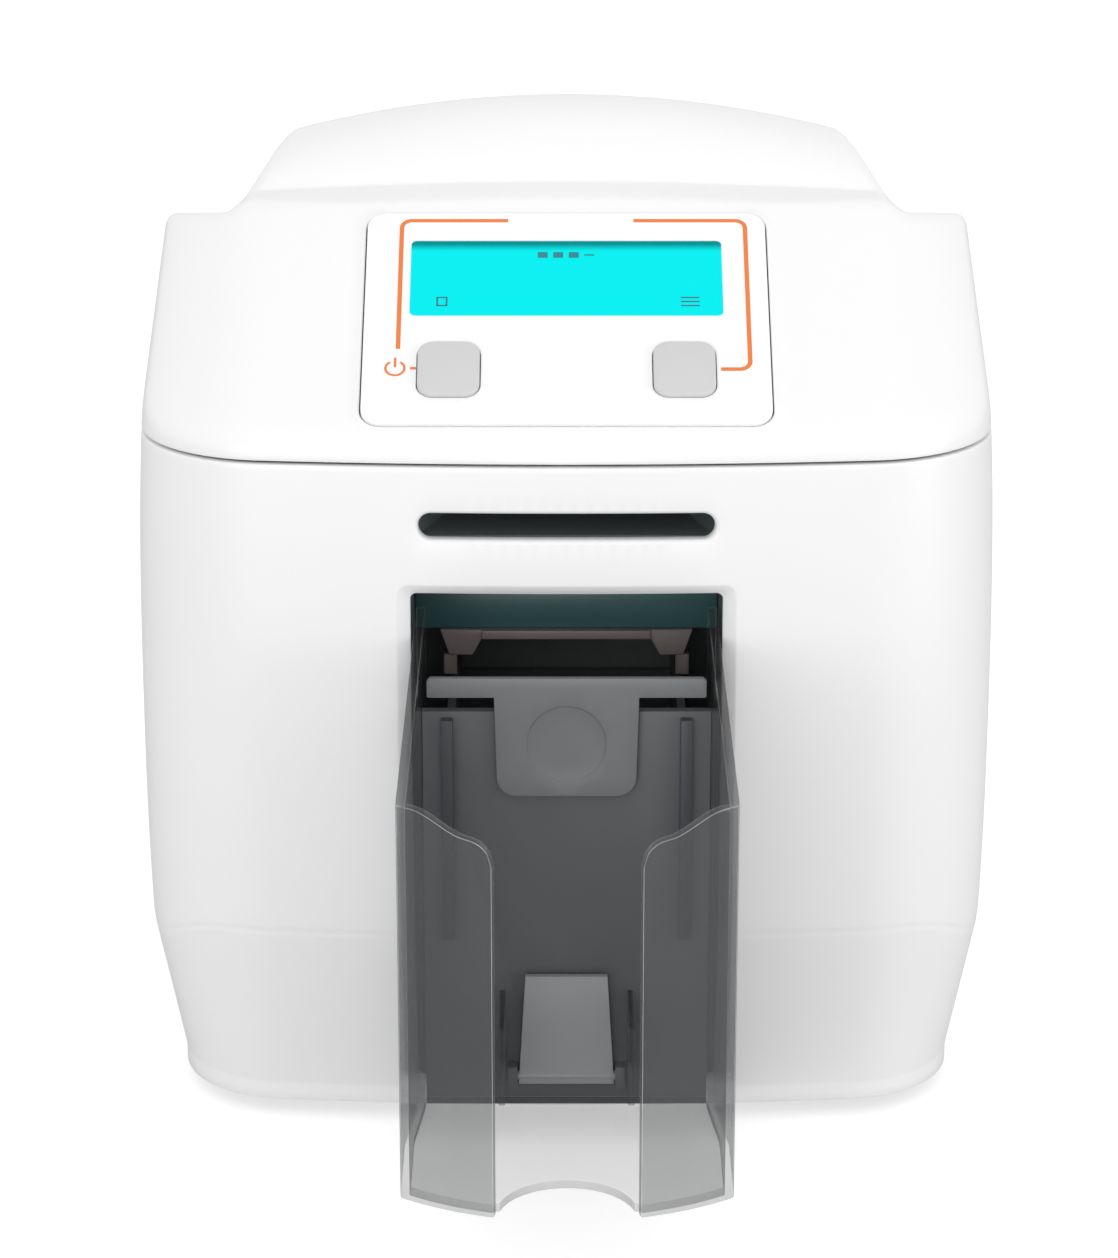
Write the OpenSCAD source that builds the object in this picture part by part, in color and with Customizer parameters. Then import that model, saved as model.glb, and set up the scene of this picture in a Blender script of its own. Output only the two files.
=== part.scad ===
/* [Body] */
// Overall width of the casing at its widest
body_w = 222; // [206:1:240]
// Depth of the casing from front face to back face
body_d = 345; // [335:1:365]
// Height of the card path above the table
path_z = 165; // [163:0.5:168]
// Height of the front seam above the card path
seam_rise = 16; // [15:0.5:20]
// Radius of the front corners seen from above
front_corner_r = 38; // [30:1:44]
// Radius of the back corners seen from above
back_corner_r = 22; // [20:1:28]
// Radius of the gentle bow across the front
front_bow_r = 800; // [600:10:1200]
// Wall thickness of the casing
casing_wall = 3; // [2.5:0.1:3.4]
// Wall thickness of the lid
lid_wall = 2.8; // [2.4:0.1:3.2]
// Visible gap between casing and lid
seam_gap = 0.8; // [0.4:0.1:1.2]
// Height of the crease above the lower band
crease_z = 50; // [40:1:60]
// How far the lower band leans in at its foot
band_lean = 7.7; // [5:0.1:10]
// How far the casing leans in from its widest to the seam
seam_inset = 1.8; // [1:0.1:2.6]
// Height of the rubber feet
foot_h = 4; // [3:0.5:6]
// Radius of a rubber foot
foot_r = 9; // [6:0.5:11]

/* [Lid] */
// Distance from the front face to the foot of the sloped panel
slope_foot_u = 8; // [6:0.5:10]
// Height of the foot of the slope above the seam
slope_rise = 8; // [6:0.5:10]
// Distance from the front face to the crest of the slope
crest_u = 71; // [68:1:74]
// Height of the crest of the slope above the seam
crest_rise = 49; // [46:0.5:52]
// Height of the hump above the crest
hump_h = 22; // [16:0.5:30]
// Half width of the hump at its foot
hump_half_w = 84; // [78:1:88]
// Exponent of the hump's arched section
hump_power = 3.2; // [2.4:0.1:4]
// Distance from the front face to the front edge of the ledge before the hump
ledge_u = 76; // [74:0.5:78]
// Distance from the front face to the foot of the hump
hump_foot_u = 86; // [83:1:90]
// Distance from the front face to the top of the hump
hump_top_u = 116; // [108:1:124]
// Radius of the rounded back edge of the lid about its hinge
hinge_barrel_r = 10; // [9:0.5:12]
// Distance from the card path down to the hinge axis
hinge_drop = 7; // [5:0.5:9]
// Radius of the hinge pins
hinge_pin_r = 2.5; // [2:0.1:3]

/* [Control panel] */
// Width of the control panel
panel_w = 103; // [90:1:110]
// Length of the control panel along the slope
panel_l = 73; // [70:0.5:74]
// Corner radius of the control panel
panel_corner_r = 5; // [3:0.5:7]
// Gap around the control panel
panel_gap = 0.4; // [0.3:0.05:0.6]
// Width of the display window
window_w = 80; // [60:1:84]
// Length of the display window along the slope
window_l = 26.5; // [20:0.5:30]
// Distance from the panel's foot to the middle of the window
window_s = 51; // [48:0.5:54]
// Width of a button
button_w = 15.7; // [12:0.1:18]
// Length of a button along the slope
button_l = 18; // [14:0.5:20]
// Corner radius of a button
button_corner_r = 4; // [2:0.5:5]
// Distance of each button's middle from the panel's middle
button_x = 29.7; // [22:0.1:34]
// Distance from the panel's foot to the middle of the buttons
button_s = 19; // [16:0.5:22]
// Travel of a button
button_travel = 0.8; // [0.5:0.1:1.2]
// Gap around a button
button_gap = 0.25; // [0.15:0.05:0.4]

/* [Mouth and slot] */
// Clear width of the mouth
mouth_w = 79; // [78:0.5:86]
// Distance from the card path down to the top of the mouth
mouth_drop = 19; // [16:0.5:22]
// Height of the sill of the mouth
mouth_sill_z = 12; // [10:0.5:14]
// Width of the bevel around the mouth
mouth_bevel = 3.5; // [2:0.5:4]
// Clear width of the hand-feed slot
slot_w = 74; // [62:1:80]
// Clear height of the hand-feed slot
slot_h = 7; // [6:0.5:8]
// Height of the middle of the hand-feed slot above the card path
slot_rise = 0.5; // [0:0.1:1]

/* [Cards and hopper] */
// Width of a card
card_w = 54; // [52:0.1:56]
// Length of a card
card_l = 85.6; // [84:0.1:87]
// Side clearance of a card in its guides
card_side_gap = 1.6; // [1:0.1:2]
// Distance the hopper reaches in front of the casing
hopper_reach = 125; // [118:1:140]
// Gap between the hopper and each side of the mouth
hopper_gap = 0.9; // [0.5:0.1:1.5]
// Wall thickness of the hopper
hopper_wall = 2.2; // [1.8:0.1:2.6]
// Distance from the top of the mouth down to the top edge of the hopper
hopper_drop = 10; // [8:0.5:16]
// Height of the shelf at the front of the hopper
shelf_z = 41; // [36:1:46]
// Depth of the shelf from front to back
shelf_d = 32; // [26:1:36]
// Radius of the thumb notch in the shelf
thumb_r = 16; // [12:0.5:18]
// Half width of the open gap between the front wings
wing_gap_half = 17; // [14:0.5:22]
// Forward bulge of the wings beside the gap
wing_bulge = 9; // [7:0.5:11]
// Thickness of the feeder wall
feeder_wall_t = 3; // [2.5:0.1:3.5]
// Distance from the top of the mouth down to the top of the feeder wall
feeder_drop = 27; // [25:0.5:32]
// Width of the feeder cover
cover_w = 70; // [66:0.5:71]
// Thickness of the feeder cover
cover_t = 2.2; // [1.8:0.1:2.4]
// Height of the feeder cover above the feeder wall
cover_rise = 9.5; // [7:0.5:11]
// Radius of the finger recess in the feeder cover
recess_r = 11; // [8:0.5:12]

/* [Mechanism] */
// Distance from the middle to the inner face of each side frame
frame_x = 58; // [56:1:62]
// Thickness of each side frame
frame_t = 2; // [1.5:0.1:3]
// Radius of the driven rubber rollers
roller_r = 8; // [7:0.1:8.5]
// Radius of the roller shafts
shaft_r = 3; // [2.5:0.1:3.5]
// Radial clearance of each running shaft
shaft_gap = 0.05; // [0.03:0.01:0.08]
// Outer radius of each bushing
bushing_r = 5; // [4.5:0.1:6]
// Distance from the front face to the feed roller
feed_u = 132; // [130:1:134]
// Distance from the front face to the platen roller
platen_u = 165; // [162:1:168]
// Distance from the front face to the rear roller
rear_u = 225; // [222:1:230]
// Distance from the front face to the cleaning roller
cleaning_u = 112; // [108:1:116]
// Radius of the cleaning roller
cleaning_r = 4; // [3.5:0.1:4.5]
// Distance from the front face to the pick roller
pick_u = 70; // [64:1:74]
// Radius of the pulleys on the roller shafts
pulley_r = 9; // [8:0.1:10]
// Radius of the motor pulley
motor_pulley_r = 6; // [5:0.1:7]
// Width of the drive belt
belt_w = 6; // [4:0.5:8]
// Thickness of the drive belt
belt_t = 1.2; // [0.8:0.1:1.6]
// Gap between belt and pulleys
belt_gap = 0.2; // [0.1:0.05:0.4]
// Height of the spool axes above the card path
spool_rise = 27; // [26:0.5:29]
// Radius of the spool flanges
spool_flange_r = 16; // [12:0.5:17]
// Radius of the spool cores
spool_core_r = 9; // [7:0.5:10]
// Radius of the spool journals
spool_journal_r = 4; // [3:0.1:5]
// Distance from the front face to the take-up spool
takeup_u = 114; // [112:1:118]
// Distance from the front face to the supply spool
supply_u = 214; // [210:1:216]
// Thickness of the ribbon film
film_t = 0.3; // [0.2:0.05:0.5]

/* [Hidden] */
$fn = 48;

// Heights that follow from the card path
seam_z = path_z + seam_rise;
crest_z = seam_z + crest_rise;
body_h = crest_z + hump_h;
hinge_z = path_z - hinge_drop;
mouth_top_z = path_z - mouth_drop;
slot_z = path_z + slot_rise;
hopper_top_z = mouth_top_z - hopper_drop;
feeder_top_z = mouth_top_z - feeder_drop;
cover_top_z = feeder_top_z + cover_rise;
spool_z = path_z + spool_rise;

// The front face lies at front_y; a distance behind it is written u
front_y = (hopper_reach - body_d) / 2;
half_w = body_w / 2;
hinge_u = body_d - hinge_barrel_r;
// Gap between parts that rest against each other, and the thinnest air gap
seat = 0.1;
air = 0.3;
eps = 0.01;

// Plan outline: a bowed front, round corners and straight sides
corner_x = half_w - front_corner_r;
corner_u = front_bow_r - sqrt(pow(front_bow_r - front_corner_r, 2) - corner_x * corner_x);
bow_a = asin(corner_x / (front_bow_r - front_corner_r));
bow_steps = 8;
corner_steps = 8;
back_steps = 5;

// Insets of the casing's section from its widest outline, by height
crease_inset = 0.8;
lip_z = foot_h + 5;
lip_inset = 0.3;
side_levels = [
    [foot_h, crease_inset + band_lean + lip_inset],
    [lip_z, crease_inset + band_lean],
    [crease_z, crease_inset],
    [crease_z + 45, 0],
    [seam_z - 46, seam_inset / 9],
    [seam_z - 26, seam_inset / 3],
    [seam_z, seam_inset],
    [seam_z + 20, seam_inset * 1.6]];

// Slope of the lid that carries the control panel
slope_foot_z = seam_z + slope_rise;
slope_a = atan2(crest_z - slope_foot_z, crest_u - slope_foot_u);
slope_len = norm([crest_u - slope_foot_u, crest_z - slope_foot_z]);
panel_proud = 0.8;
panel_s = slope_len / 2;
tray_t = 2;
tray_top = -lid_wall - seat;
flat_seam_u = 60;
barrel_top_z = hinge_z + hinge_barrel_r;
ledge_z = crest_z + (ledge_u - crest_u) * tan(slope_a);
ledge_rise = 1.7;
hump_front_power = 0.85;
hump_back_power = 1.3;
hump_steps = 20;
hump_front_steps = 5;
hump_back_steps = 9;

// The lid's section by height: inset, and how far its front has moved back up the slope. The
// panel's slope is flat across and takes over from the bowed front inside flat_half
flat_half = panel_w / 2 + 8;
bow_drop = front_bow_r - sqrt(front_bow_r * front_bow_r - flat_half * flat_half);
foot_inset = seam_inset * 1.3;
crest_inset = seam_inset * 2.8;
top_inset = seam_inset * 4.2;
lid_levels = [
    [side_levels[3][0], 0, 0],
    [side_levels[4][0], side_levels[4][1], 0],
    [side_levels[5][0], side_levels[5][1], 0],
    [seam_z, seam_inset, 0],
    [slope_foot_z, foot_inset, slope_foot_u - bow_drop - foot_inset],
    [crest_z, crest_inset, crest_u - bow_drop - crest_inset],
    [body_h + 4, top_inset, ledge_u - bow_drop - top_inset]];

// Hopper and feeder
hopper_half = mouth_w / 2 - hopper_gap;
hopper_in = hopper_half - hopper_wall;
wing_r = (hopper_half * hopper_half - wing_gap_half * wing_gap_half) / (2 * wing_bulge);
hopper_front_u = -hopper_reach;
wing_center_u = hopper_front_u + sqrt(wing_r * wing_r - wing_gap_half * wing_gap_half);
hopper_side_front_u = wing_center_u - sqrt(wing_r * wing_r - hopper_half * hopper_half);
hopper_inside_u = 27;
ramp_end_z = mouth_sill_z + 1;
ramp_end_u = -7;
wing_drop = 5;
bay_half = card_w / 2 + card_side_gap;
bay_wall = 2;
bay_front_u = 2 * casing_wall + 1;
box_floor_z = mouth_sill_z + 1;
box_floor_t = 3;
box_top_z = feeder_top_z - 7;
box_front_u = 0;
box_in_u = 2;
box_back_u = box_in_u + card_l + 2 * seat + 2;
feeder_front_u = -5;
cover_back_u = feeder_front_u - air;
cover_front_u = cover_back_u - cover_t;
cover_bar_h = 5;
tab_half = 18.2;
tab_h = 31.3;
rib_top_z = feeder_top_z - 1.5;
rib_low_z = 58;
rib_w = 3;
fin_x = 15.6;
fin_t = 1.6;
fin_front_u = -30;
fin_low_z = 22;
fin_top_z = 43;
lift_t = 2.5;
lift_z = box_floor_z + box_floor_t + 0.5;
tongue_bottom_z = 18;
tongue_h = 30;
tongue_pin_r = 1.2;
tongue_half = 12.3;
tongue_t = 2;
tongue_taper = 1.8;
tongue_ear = 2.4;
tongue_u = feeder_front_u - 1.2 - tongue_t / 2;
tongue_slit_x = 9;
tongue_slit_half = 0.6;
finger_cut_half = 15;
tongue_axis_z = tongue_bottom_z + 2;
frame_screw_us = [120, 210, 300];

// Mechanism
frame_out = frame_x + frame_t;
deck_t = 2.5;
deck_top_z = path_z - 0.6;
deck_front_u = feed_u - 9;
axle_z = path_z - roller_r;
pick_r = 7;
pick_z = path_z - 33;
ramp_foot_z = pick_z - 13;
motor_u = platen_u + 15;
motor_z = path_z - 45;
motor_r = 20;
motor_shaft_r = 2.5;
belt_x = frame_out + 2;
pinch_r = 5;
card_room = 0.9;
upper_shaft_r = 2;
frame_front_u = pick_u + 28;
chute_front_u = 40;
chute_back_u = frame_front_u + 2;
chute_t = 3;
chute_z = mouth_top_z - 20;
gate_half = 22;
gate_h = 2.4;
gate_t = 5;
bracket_h = 7;
clip_h = 5.5;
clip_w = 3.5;
cross_bar_h = 12;
frame_back_u = body_d - 27;
frame_top_z = path_z + 13;
frame_rear_z = path_z - 15;
lobe_h = 6;
lobe_half = 8;
tray_z = foot_h + 3;
lug_t = 3;
ear_t = 6;
lug_r = 6;
lug_drop = 26;
lug_foot_l = 20;
lug_foot_h = 6;
ear_l = 50;
hinge_out = frame_out + 2 * lug_t + ear_t + 2 * air;
head_z = path_z + 3;
head_half = 30;
head_edge_h = 1.5;
head_body_half = 8;
sink_z = head_z + 8;
sink_half = 12;
sink_base_h = 4;
sink_h = 16;
sink_pitch = 4;
sink_fin_t = 1.6;
sink_side_fins = 7;
arm_t = 2;
arm_half = 14;
arm_rim = 6;
arm_cut_low = 18;
arm_cut_top = 36;
film_z = path_z + 2.2;
film_head_half = 15;
fan_x = 30;
fan_z = 82;
fan_half = 20;
fan_depth = 10;
fan_bore_r = 18.5;
fan_shaft_r = 1.5;
board_z = tray_z + 11;
board_t = 1.6;
board_half = 54;
board_front_u = body_d - 155;
board_back_u = body_d - 11;
port_front_u = body_d - 25;
socket_u = body_d - 15;
board_screw_us = [board_front_u + 6, board_back_u - 20];
screw_r = 1.5;
screw_hole_r = screw_r + 0.05;
head_r = 2.8;
head_h = 1.8;
panel_back_u = body_d - 0.5;
rear_panel_t = 2.5;
rear_panel_half = 62;
rear_panel_low = 16;
rear_panel_top = 112;
port_z = board_z + board_t;
inlet_x = -40;
inlet_h = 12;
usb_x = -15;
usb_h = 11;
net_x = 12;
net_h = 13.5;
fan_back_u = panel_back_u - rear_panel_t;
slat_pitch = 4;
slat_gap = 2.4;
ear_x = frame_out + lug_t + air;
board_top = tray_top - tray_t - 3.1;

function at(u) = front_y + u;

// Height of the axis of a roller of radius r that rides on top of a card
function upper_axle_z(r) = path_z + card_room + r;

function arc(cx, cy, r, a0, a1, n, skip = 0) =
    [for (i = [skip : n - skip]) let (a = a0 + (a1 - a0) * i / n) [cx + r * cos(a), cy + r * sin(a)]];

// The plan outline, counter-clockwise from the front right corner. Front and sides lean in by
// lean, the back stays flat, the whole outline moves in by t and its front moves back by shift
function outline(lean, t, shift = 0) = let (inset = lean + t, back_u = body_d - back_corner_r + lean) concat(
    arc(corner_x, at(corner_u + shift), front_corner_r - inset, -90 + bow_a, 0, corner_steps),
    arc(half_w - back_corner_r, at(back_u), back_corner_r - inset, 0, 90, back_steps),
    arc(back_corner_r - half_w, at(back_u), back_corner_r - inset, 90, 180, back_steps),
    arc(-corner_x, at(corner_u + shift), front_corner_r - inset, 180, 270 - bow_a, corner_steps),
    arc(0, at(front_bow_r + shift), front_bow_r - inset, -90 - bow_a, -90 + bow_a, bow_steps, 1));

// A closed solid through rings of n points each; the rings run so that the first faces out
module ring_solid(rings) {
    n = len(rings[0]);
    last = (len(rings) - 1) * n;
    polyhedron(
        points = [for (r = rings) for (p = r) p],
        faces = concat(
            [[for (j = [0 : n - 1]) j]],
            [for (i = [0 : len(rings) - 2]) for (j = [0 : n - 1])
                [i * n + j, (i + 1) * n + j, (i + 1) * n + (j + 1) % n]],
            [for (i = [0 : len(rings) - 2]) for (j = [0 : n - 1])
                [i * n + j, (i + 1) * n + (j + 1) % n, i * n + (j + 1) % n]],
            [[for (j = [n - 1 : -1 : 0]) last + j]]));
}

// The casing's outer form, moved in by inset
module casing_form(inset) {
    ring_solid([for (level = side_levels)
        [for (p = outline(level[1], inset)) [p[0], p[1], level[0]]]]);
}

// A profile drawn in distance u and height z, extruded across X
module across(width, profile) {
    translate([-width / 2, front_y, 0]) rotate([90, 0, 90]) linear_extrude(height = width) polygon(profile);
}

module across_from(x0, x1, profile) {
    translate([x0, front_y, 0]) rotate([90, 0, 90]) linear_extrude(height = x1 - x0) polygon(profile);
}

// A block between two corners given as x, u and z
module block(low, high) {
    translate([low[0], at(low[1]), low[2]]) cube([high[0] - low[0], high[1] - low[1], high[2] - low[2]]);
}

// A round bar along X
module bar_x(r, x0, x1, u, z) {
    translate([x0, at(u), z]) rotate([0, 90, 0]) cylinder(r = r, h = x1 - x0);
}

// A round bar along Y
module bar_y(r, x, u0, u1, z) {
    translate([x, at(u0), z]) rotate([-90, 0, 0]) cylinder(r = r, h = u1 - u0);
}

// An upright round bar
module post(r, x, u, z0, z1) {
    translate([x, at(u), z0]) cylinder(r = r, h = z1 - z0);
}

module both_sides() {
    children();
    mirror([1, 0, 0]) children();
}

module rounded_rect(w, l, r) {
    square([w - 2 * r, l], center = true);
    square([w, l - 2 * r], center = true);
    for (x = [-1, 1], y = [-1, 1]) translate([x * (w / 2 - r), y * (l / 2 - r)]) circle(r = r);
}

// A rounded plate on the lid's slope, s up the slope from its foot
module slope_plate(w, l, r, x, s, z0, z1) {
    translate([0, at(slope_foot_u), slope_foot_z]) rotate([slope_a, 0, 0])
        translate([x, s, z0]) linear_extrude(height = z1 - z0) rounded_rect(w, l, r);
}

module slope_block(x, s, w, l, z0, z1) {
    translate([0, at(slope_foot_u), slope_foot_z]) rotate([slope_a, 0, 0])
        translate([x - w / 2, s - l / 2, z0]) cube([w, l, z1 - z0]);
}

// Everything above the seam, lifted by gap; behind the hinge it ends level with the axis
module above_seam(gap) {
    across(body_w + 20, [
        [-30, seam_z + gap], [flat_seam_u, seam_z + gap], [hinge_u, hinge_z + gap],
        [body_d + 5, hinge_z + gap], [body_d + 5, body_h + 20], [-30, body_h + 20]]);
}

module below_seam(gap) {
    across(body_w + 20, [
        [-30, -5], [-30, seam_z - gap], [flat_seam_u, seam_z - gap], [hinge_u, hinge_z - gap],
        [body_d + 5, hinge_z - gap], [body_d + 5, -5]]);
}

function shoulder_z(u) = crest_z - (crest_z - barrel_top_z) * (u - crest_u) / (hinge_u - crest_u);
function crown_z(u) =
    u <= ledge_u ? crest_z + (ledge_z - crest_z) * (u - crest_u) / (ledge_u - crest_u) :
    u <= hump_foot_u ? ledge_z + ledge_rise * (u - ledge_u) / (hump_foot_u - ledge_u) :
    u <= hump_top_u ? ledge_z + ledge_rise + (body_h - ledge_z - ledge_rise)
        * sin(90 * pow((u - hump_foot_u) / (hump_top_u - hump_foot_u), hump_front_power)) :
    body_h - (body_h - barrel_top_z) * pow((u - hump_top_u) / (hinge_u - hump_top_u), hump_back_power);
hump_stations = concat([crest_u, ledge_u],
    [for (i = [0 : hump_front_steps]) hump_foot_u + (hump_top_u - hump_foot_u) * i / hump_front_steps],
    [for (i = [1 : hump_back_steps]) hump_top_u + (hinge_u - hump_top_u) * i / hump_back_steps]);

// One section of the hump at u, moved in by t
function hump_ring(u, t) = let (w = hump_half_w - t, low = shoulder_z(u) - t, up = crown_z(u) - shoulder_z(u))
    concat([[w, at(u), hinge_z - 20]],
        [for (i = [0 : hump_steps]) let (a = 180 * i / hump_steps, c = cos(a), s = sin(a))
            [w * sign(c) * pow(abs(c), 2 / hump_power), at(u), low + up * pow(s, 2 / hump_power)]],
        [[-w, at(u), hinge_z - 20]]);

module hump(t) {
    ring_solid([for (i = [len(hump_stations) - 1 : -1 : 0])
        hump_ring(hump_stations[i] + (i == 0 ? t : 0), t)]);
}

module shoulders(t) {
    bevel = t * (sqrt(2) - 1);
    lift = t / cos(slope_a);
    across(body_w + 20, concat(
        [[t, 100], [t, seam_z - bevel], [slope_foot_u + t * tan(slope_a / 2), slope_foot_z - t],
        [crest_u, crest_z - lift]],
        [for (a = [90 : -15 : 0]) [hinge_u + (hinge_barrel_r - t) * cos(a),
        hinge_z + (hinge_barrel_r - t) * sin(a)]],
        [[body_d - t, 100]]));
}

module roof(t) {
    shoulders(t);
    hump(t);
}

// The lid's outer form, moved in by t; on the slope that takes a longer way back
module lid_form(t) {
    intersection() {
        ring_solid([for (level = lid_levels)
            let (shift = level[2] + (level[2] > 0 ? t * (1 / sin(slope_a) - 1) : 0))
            [for (p = outline(level[1], t, shift)) [p[0], p[1], level[0]]]]);
        roof(t);
    }
}

module base_tray() color([0.25, 0.26, 0.28]) {
    difference() {
        union() {
            translate([0, 0, foot_h]) linear_extrude(height = tray_z - foot_h)
                polygon(outline(side_levels[0][1], casing_wall + 2 * seat + air));
            both_sides() for (u = board_screw_us)
                post(3.5, board_half - 6, u, tray_z - eps, board_z);
        }
        both_sides() for (u = board_screw_us)
            post(screw_hole_r, board_half - 6, u, tray_z, board_z + 1);
        both_sides() for (u = frame_screw_us) post(screw_hole_r, frame_out + 6, u, 0, tray_z + 1);
    }
}

module rubber_feet() color([0.12, 0.12, 0.12])
    both_sides() for (u = [34, body_d - 34]) post(foot_r, half_w - 36, u, 0, foot_h);

module mouth_cut() {
    block([-mouth_w / 2, -20, mouth_sill_z], [mouth_w / 2, 30, mouth_top_z]);
    hull() {
        block([-mouth_w / 2 - mouth_bevel, -20, mouth_sill_z - 1],
            [mouth_w / 2 + mouth_bevel, -0.5, mouth_top_z + mouth_bevel]);
        block([-mouth_w / 2, -20, mouth_sill_z], [mouth_w / 2, casing_wall, mouth_top_z]);
    }
}

module body_shell() color([0.93, 0.93, 0.94])
    difference() {
        intersection() {
            difference() {
                casing_form(0);
                casing_form(casing_wall);
            }
            below_seam(seam_gap / 2);
        }
        mouth_cut();
        block([-slot_w / 2 + slot_h / 2, -10, slot_z - slot_h / 2],
            [slot_w / 2 - slot_h / 2, 10, slot_z + slot_h / 2]);
        both_sides() bar_y(slot_h / 2, slot_w / 2 - slot_h / 2, -10, 10, slot_z);
        block([-rear_panel_half, body_d - 10, rear_panel_low], [rear_panel_half, body_d + 5, rear_panel_top]);
        bar_x(hinge_barrel_r + 0.6, -half_w, half_w, hinge_u, hinge_z);
    }

module side_frame() {
    hole_u = [feed_u, platen_u, rear_u];
    difference() {
        across_from(frame_x, frame_out, [
            [frame_front_u, tray_z], [frame_back_u, tray_z], [frame_back_u, frame_rear_z],
            [frame_back_u - 34, frame_top_z - 4], [supply_u + lobe_half + 3, frame_top_z - 4],
            [supply_u + lobe_half, spool_z + lobe_h], [supply_u - lobe_half, spool_z + lobe_h],
            [supply_u - lobe_half - 3, frame_top_z], [takeup_u + lobe_half + 3, frame_top_z],
            [takeup_u + lobe_half, spool_z + lobe_h], [takeup_u - lobe_half, spool_z + lobe_h],
            [takeup_u - lobe_half - 3, frame_top_z], [frame_front_u, frame_top_z]]);
        for (u = hole_u) bar_x(bushing_r, frame_x - 1, frame_out + 1, u, axle_z);
        bar_x(upper_shaft_r + shaft_gap, frame_x - 1, frame_out + 1, cleaning_u, upper_axle_z(cleaning_r));
        bar_x(upper_shaft_r + shaft_gap, frame_x - 1, frame_out + 1, rear_u, upper_axle_z(pinch_r));
        for (u = [takeup_u, supply_u]) {
            bar_x(spool_journal_r + shaft_gap, frame_x - 1, frame_out + 1, u, spool_z);
            block([frame_x - 1, u - spool_journal_r - shaft_gap, spool_z],
                [frame_out + 1, u + spool_journal_r + shaft_gap, spool_z + lobe_h + 1]);
        }
        bar_x(motor_shaft_r + 1.5, frame_x - 1, frame_out + 1, motor_u, motor_z);
        block([frame_x - 1, board_front_u + 10, board_z + 8],
            [frame_out + 1, frame_back_u - 18, motor_z - motor_r]);
    }
    difference() {
        block([frame_out, frame_front_u + 12, tray_z], [frame_out + 12, frame_back_u - 8, tray_z + 2]);
        for (u = frame_screw_us) post(screw_hole_r, frame_out + 6, u, 0, tray_z + 3);
    }
}

module right_side_frame() color([0.72, 0.73, 0.75]) side_frame();
module left_side_frame() color([0.72, 0.73, 0.75]) mirror([1, 0, 0]) side_frame();

module cross_bars() color([0.66, 0.67, 0.7]) {
    block([-frame_x, frame_front_u + 4, tray_z + 17],
        [frame_x, frame_front_u + 10, tray_z + 17 + cross_bar_h]);
    block([-frame_x, frame_back_u - 18, frame_rear_z - cross_bar_h],
        [frame_x, frame_back_u - 10, frame_rear_z]);
}

module card_deck() color([0.2, 0.22, 0.24])
    difference() {
        block([-frame_x + seat, deck_front_u, deck_top_z - deck_t],
            [frame_x - seat, frame_back_u - 22, deck_top_z]);
        for (u = [feed_u, platen_u, rear_u])
            block([-card_w / 2 - 5, u - roller_r - 1, path_z - 10],
                [card_w / 2 + 5, u + roller_r + 1, path_z + 2]);
        for (u = [feed_u, platen_u, rear_u])
            block([-frame_x - 1, u - bushing_r - seat, path_z - 10],
                [frame_x + 1, u + bushing_r + seat, axle_z + bushing_r + seat]);
    }

module feed_ramp() color([0.2, 0.22, 0.24])
    across(2 * (frame_x - seat), [
        [frame_front_u + 1, ramp_foot_z + 4], [frame_front_u + 1, ramp_foot_z],
        [frame_front_u + 4, ramp_foot_z],
        [deck_front_u - 0.4, path_z - 13], [deck_front_u - 0.4, deck_top_z],
        [deck_front_u - 3.4, deck_top_z]]);

module card_bay() color([0.13, 0.15, 0.16])
    difference() {
        union() {
            both_sides() across_from(mouth_w / 2 + seat, mouth_w / 2 + seat + bay_wall, [
                [bay_front_u + band_lean, tray_z], [frame_front_u - 1, tray_z],
                [frame_front_u - 1, mouth_top_z + 4],
                [bay_front_u, mouth_top_z + 4], [bay_front_u, crease_z]]);
            block([-mouth_w / 2 - seat, frame_front_u - 3, tray_z],
                [mouth_w / 2 + seat, frame_front_u - 1, box_top_z]);
            both_sides() block([bay_half, bay_front_u + band_lean + 1, tray_z],
                [bay_half + 4, frame_front_u - 2, box_floor_z - 0.2]);
        }
        bar_x(shaft_r + shaft_gap, -half_w, half_w, pick_u, pick_z);
    }

module exit_chute() color([0.14, 0.25, 0.26])
    across(mouth_w, [
        [chute_back_u, path_z - 13], [chute_front_u, chute_z + 10], [chute_front_u, chute_z],
        [chute_front_u + chute_t, chute_z], [chute_front_u + chute_t, chute_z + 7],
        [chute_back_u - 4, path_z - 17.6], [chute_back_u, path_z - 17.6]]);

module feed_gate() color([0.75, 0.68, 0.67]) {
    gate_back_u = chute_front_u + chute_t;
    block([-gate_half, gate_back_u - gate_t, chute_z - gate_h], [gate_half, gate_back_u, chute_z]);
    both_sides() translate([gate_half, at(gate_back_u), chute_z]) rotate([90, 0, 0])
        linear_extrude(height = 4)
        polygon([[0, 0], [0, -gate_h], [2.5, -bracket_h], [bay_half + 2 - gate_half, -bracket_h],
            [bay_half + 4.4 - gate_half, 0]]);
    both_sides() block([bay_half, gate_back_u - 3.5, chute_z - bracket_h - clip_h],
        [bay_half + clip_w, gate_back_u - 0.5, chute_z - bracket_h]);
}

module slot_guide() color([0.2, 0.22, 0.24])
    difference() {
        block([-slot_w / 2 - 3, casing_wall + 2.6, path_z - 4],
            [slot_w / 2 + 3, frame_front_u - 2, path_z + 5.5]);
        hull() {
            block([-slot_w / 2, casing_wall, slot_z - slot_h / 2],
                [slot_w / 2, casing_wall + 3, slot_z + slot_h / 2]);
            block([-bay_half, 25, path_z - 1.5], [bay_half, 27, path_z + 3.5]);
        }
        block([-bay_half, 26, path_z - 1.5], [bay_half, frame_front_u, path_z + 3.5]);
    }

module transport_motor() color([0.35, 0.36, 0.38])
    difference() {
        union() {
            bar_x(motor_r, frame_x - 34, frame_x, motor_u, motor_z);
            bar_x(motor_r - 6, frame_x - 37, frame_x - 34, motor_u, motor_z);
        }
        bar_x(motor_shaft_r + shaft_gap, frame_x - 12, frame_x + 1, motor_u, motor_z);
    }

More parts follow.
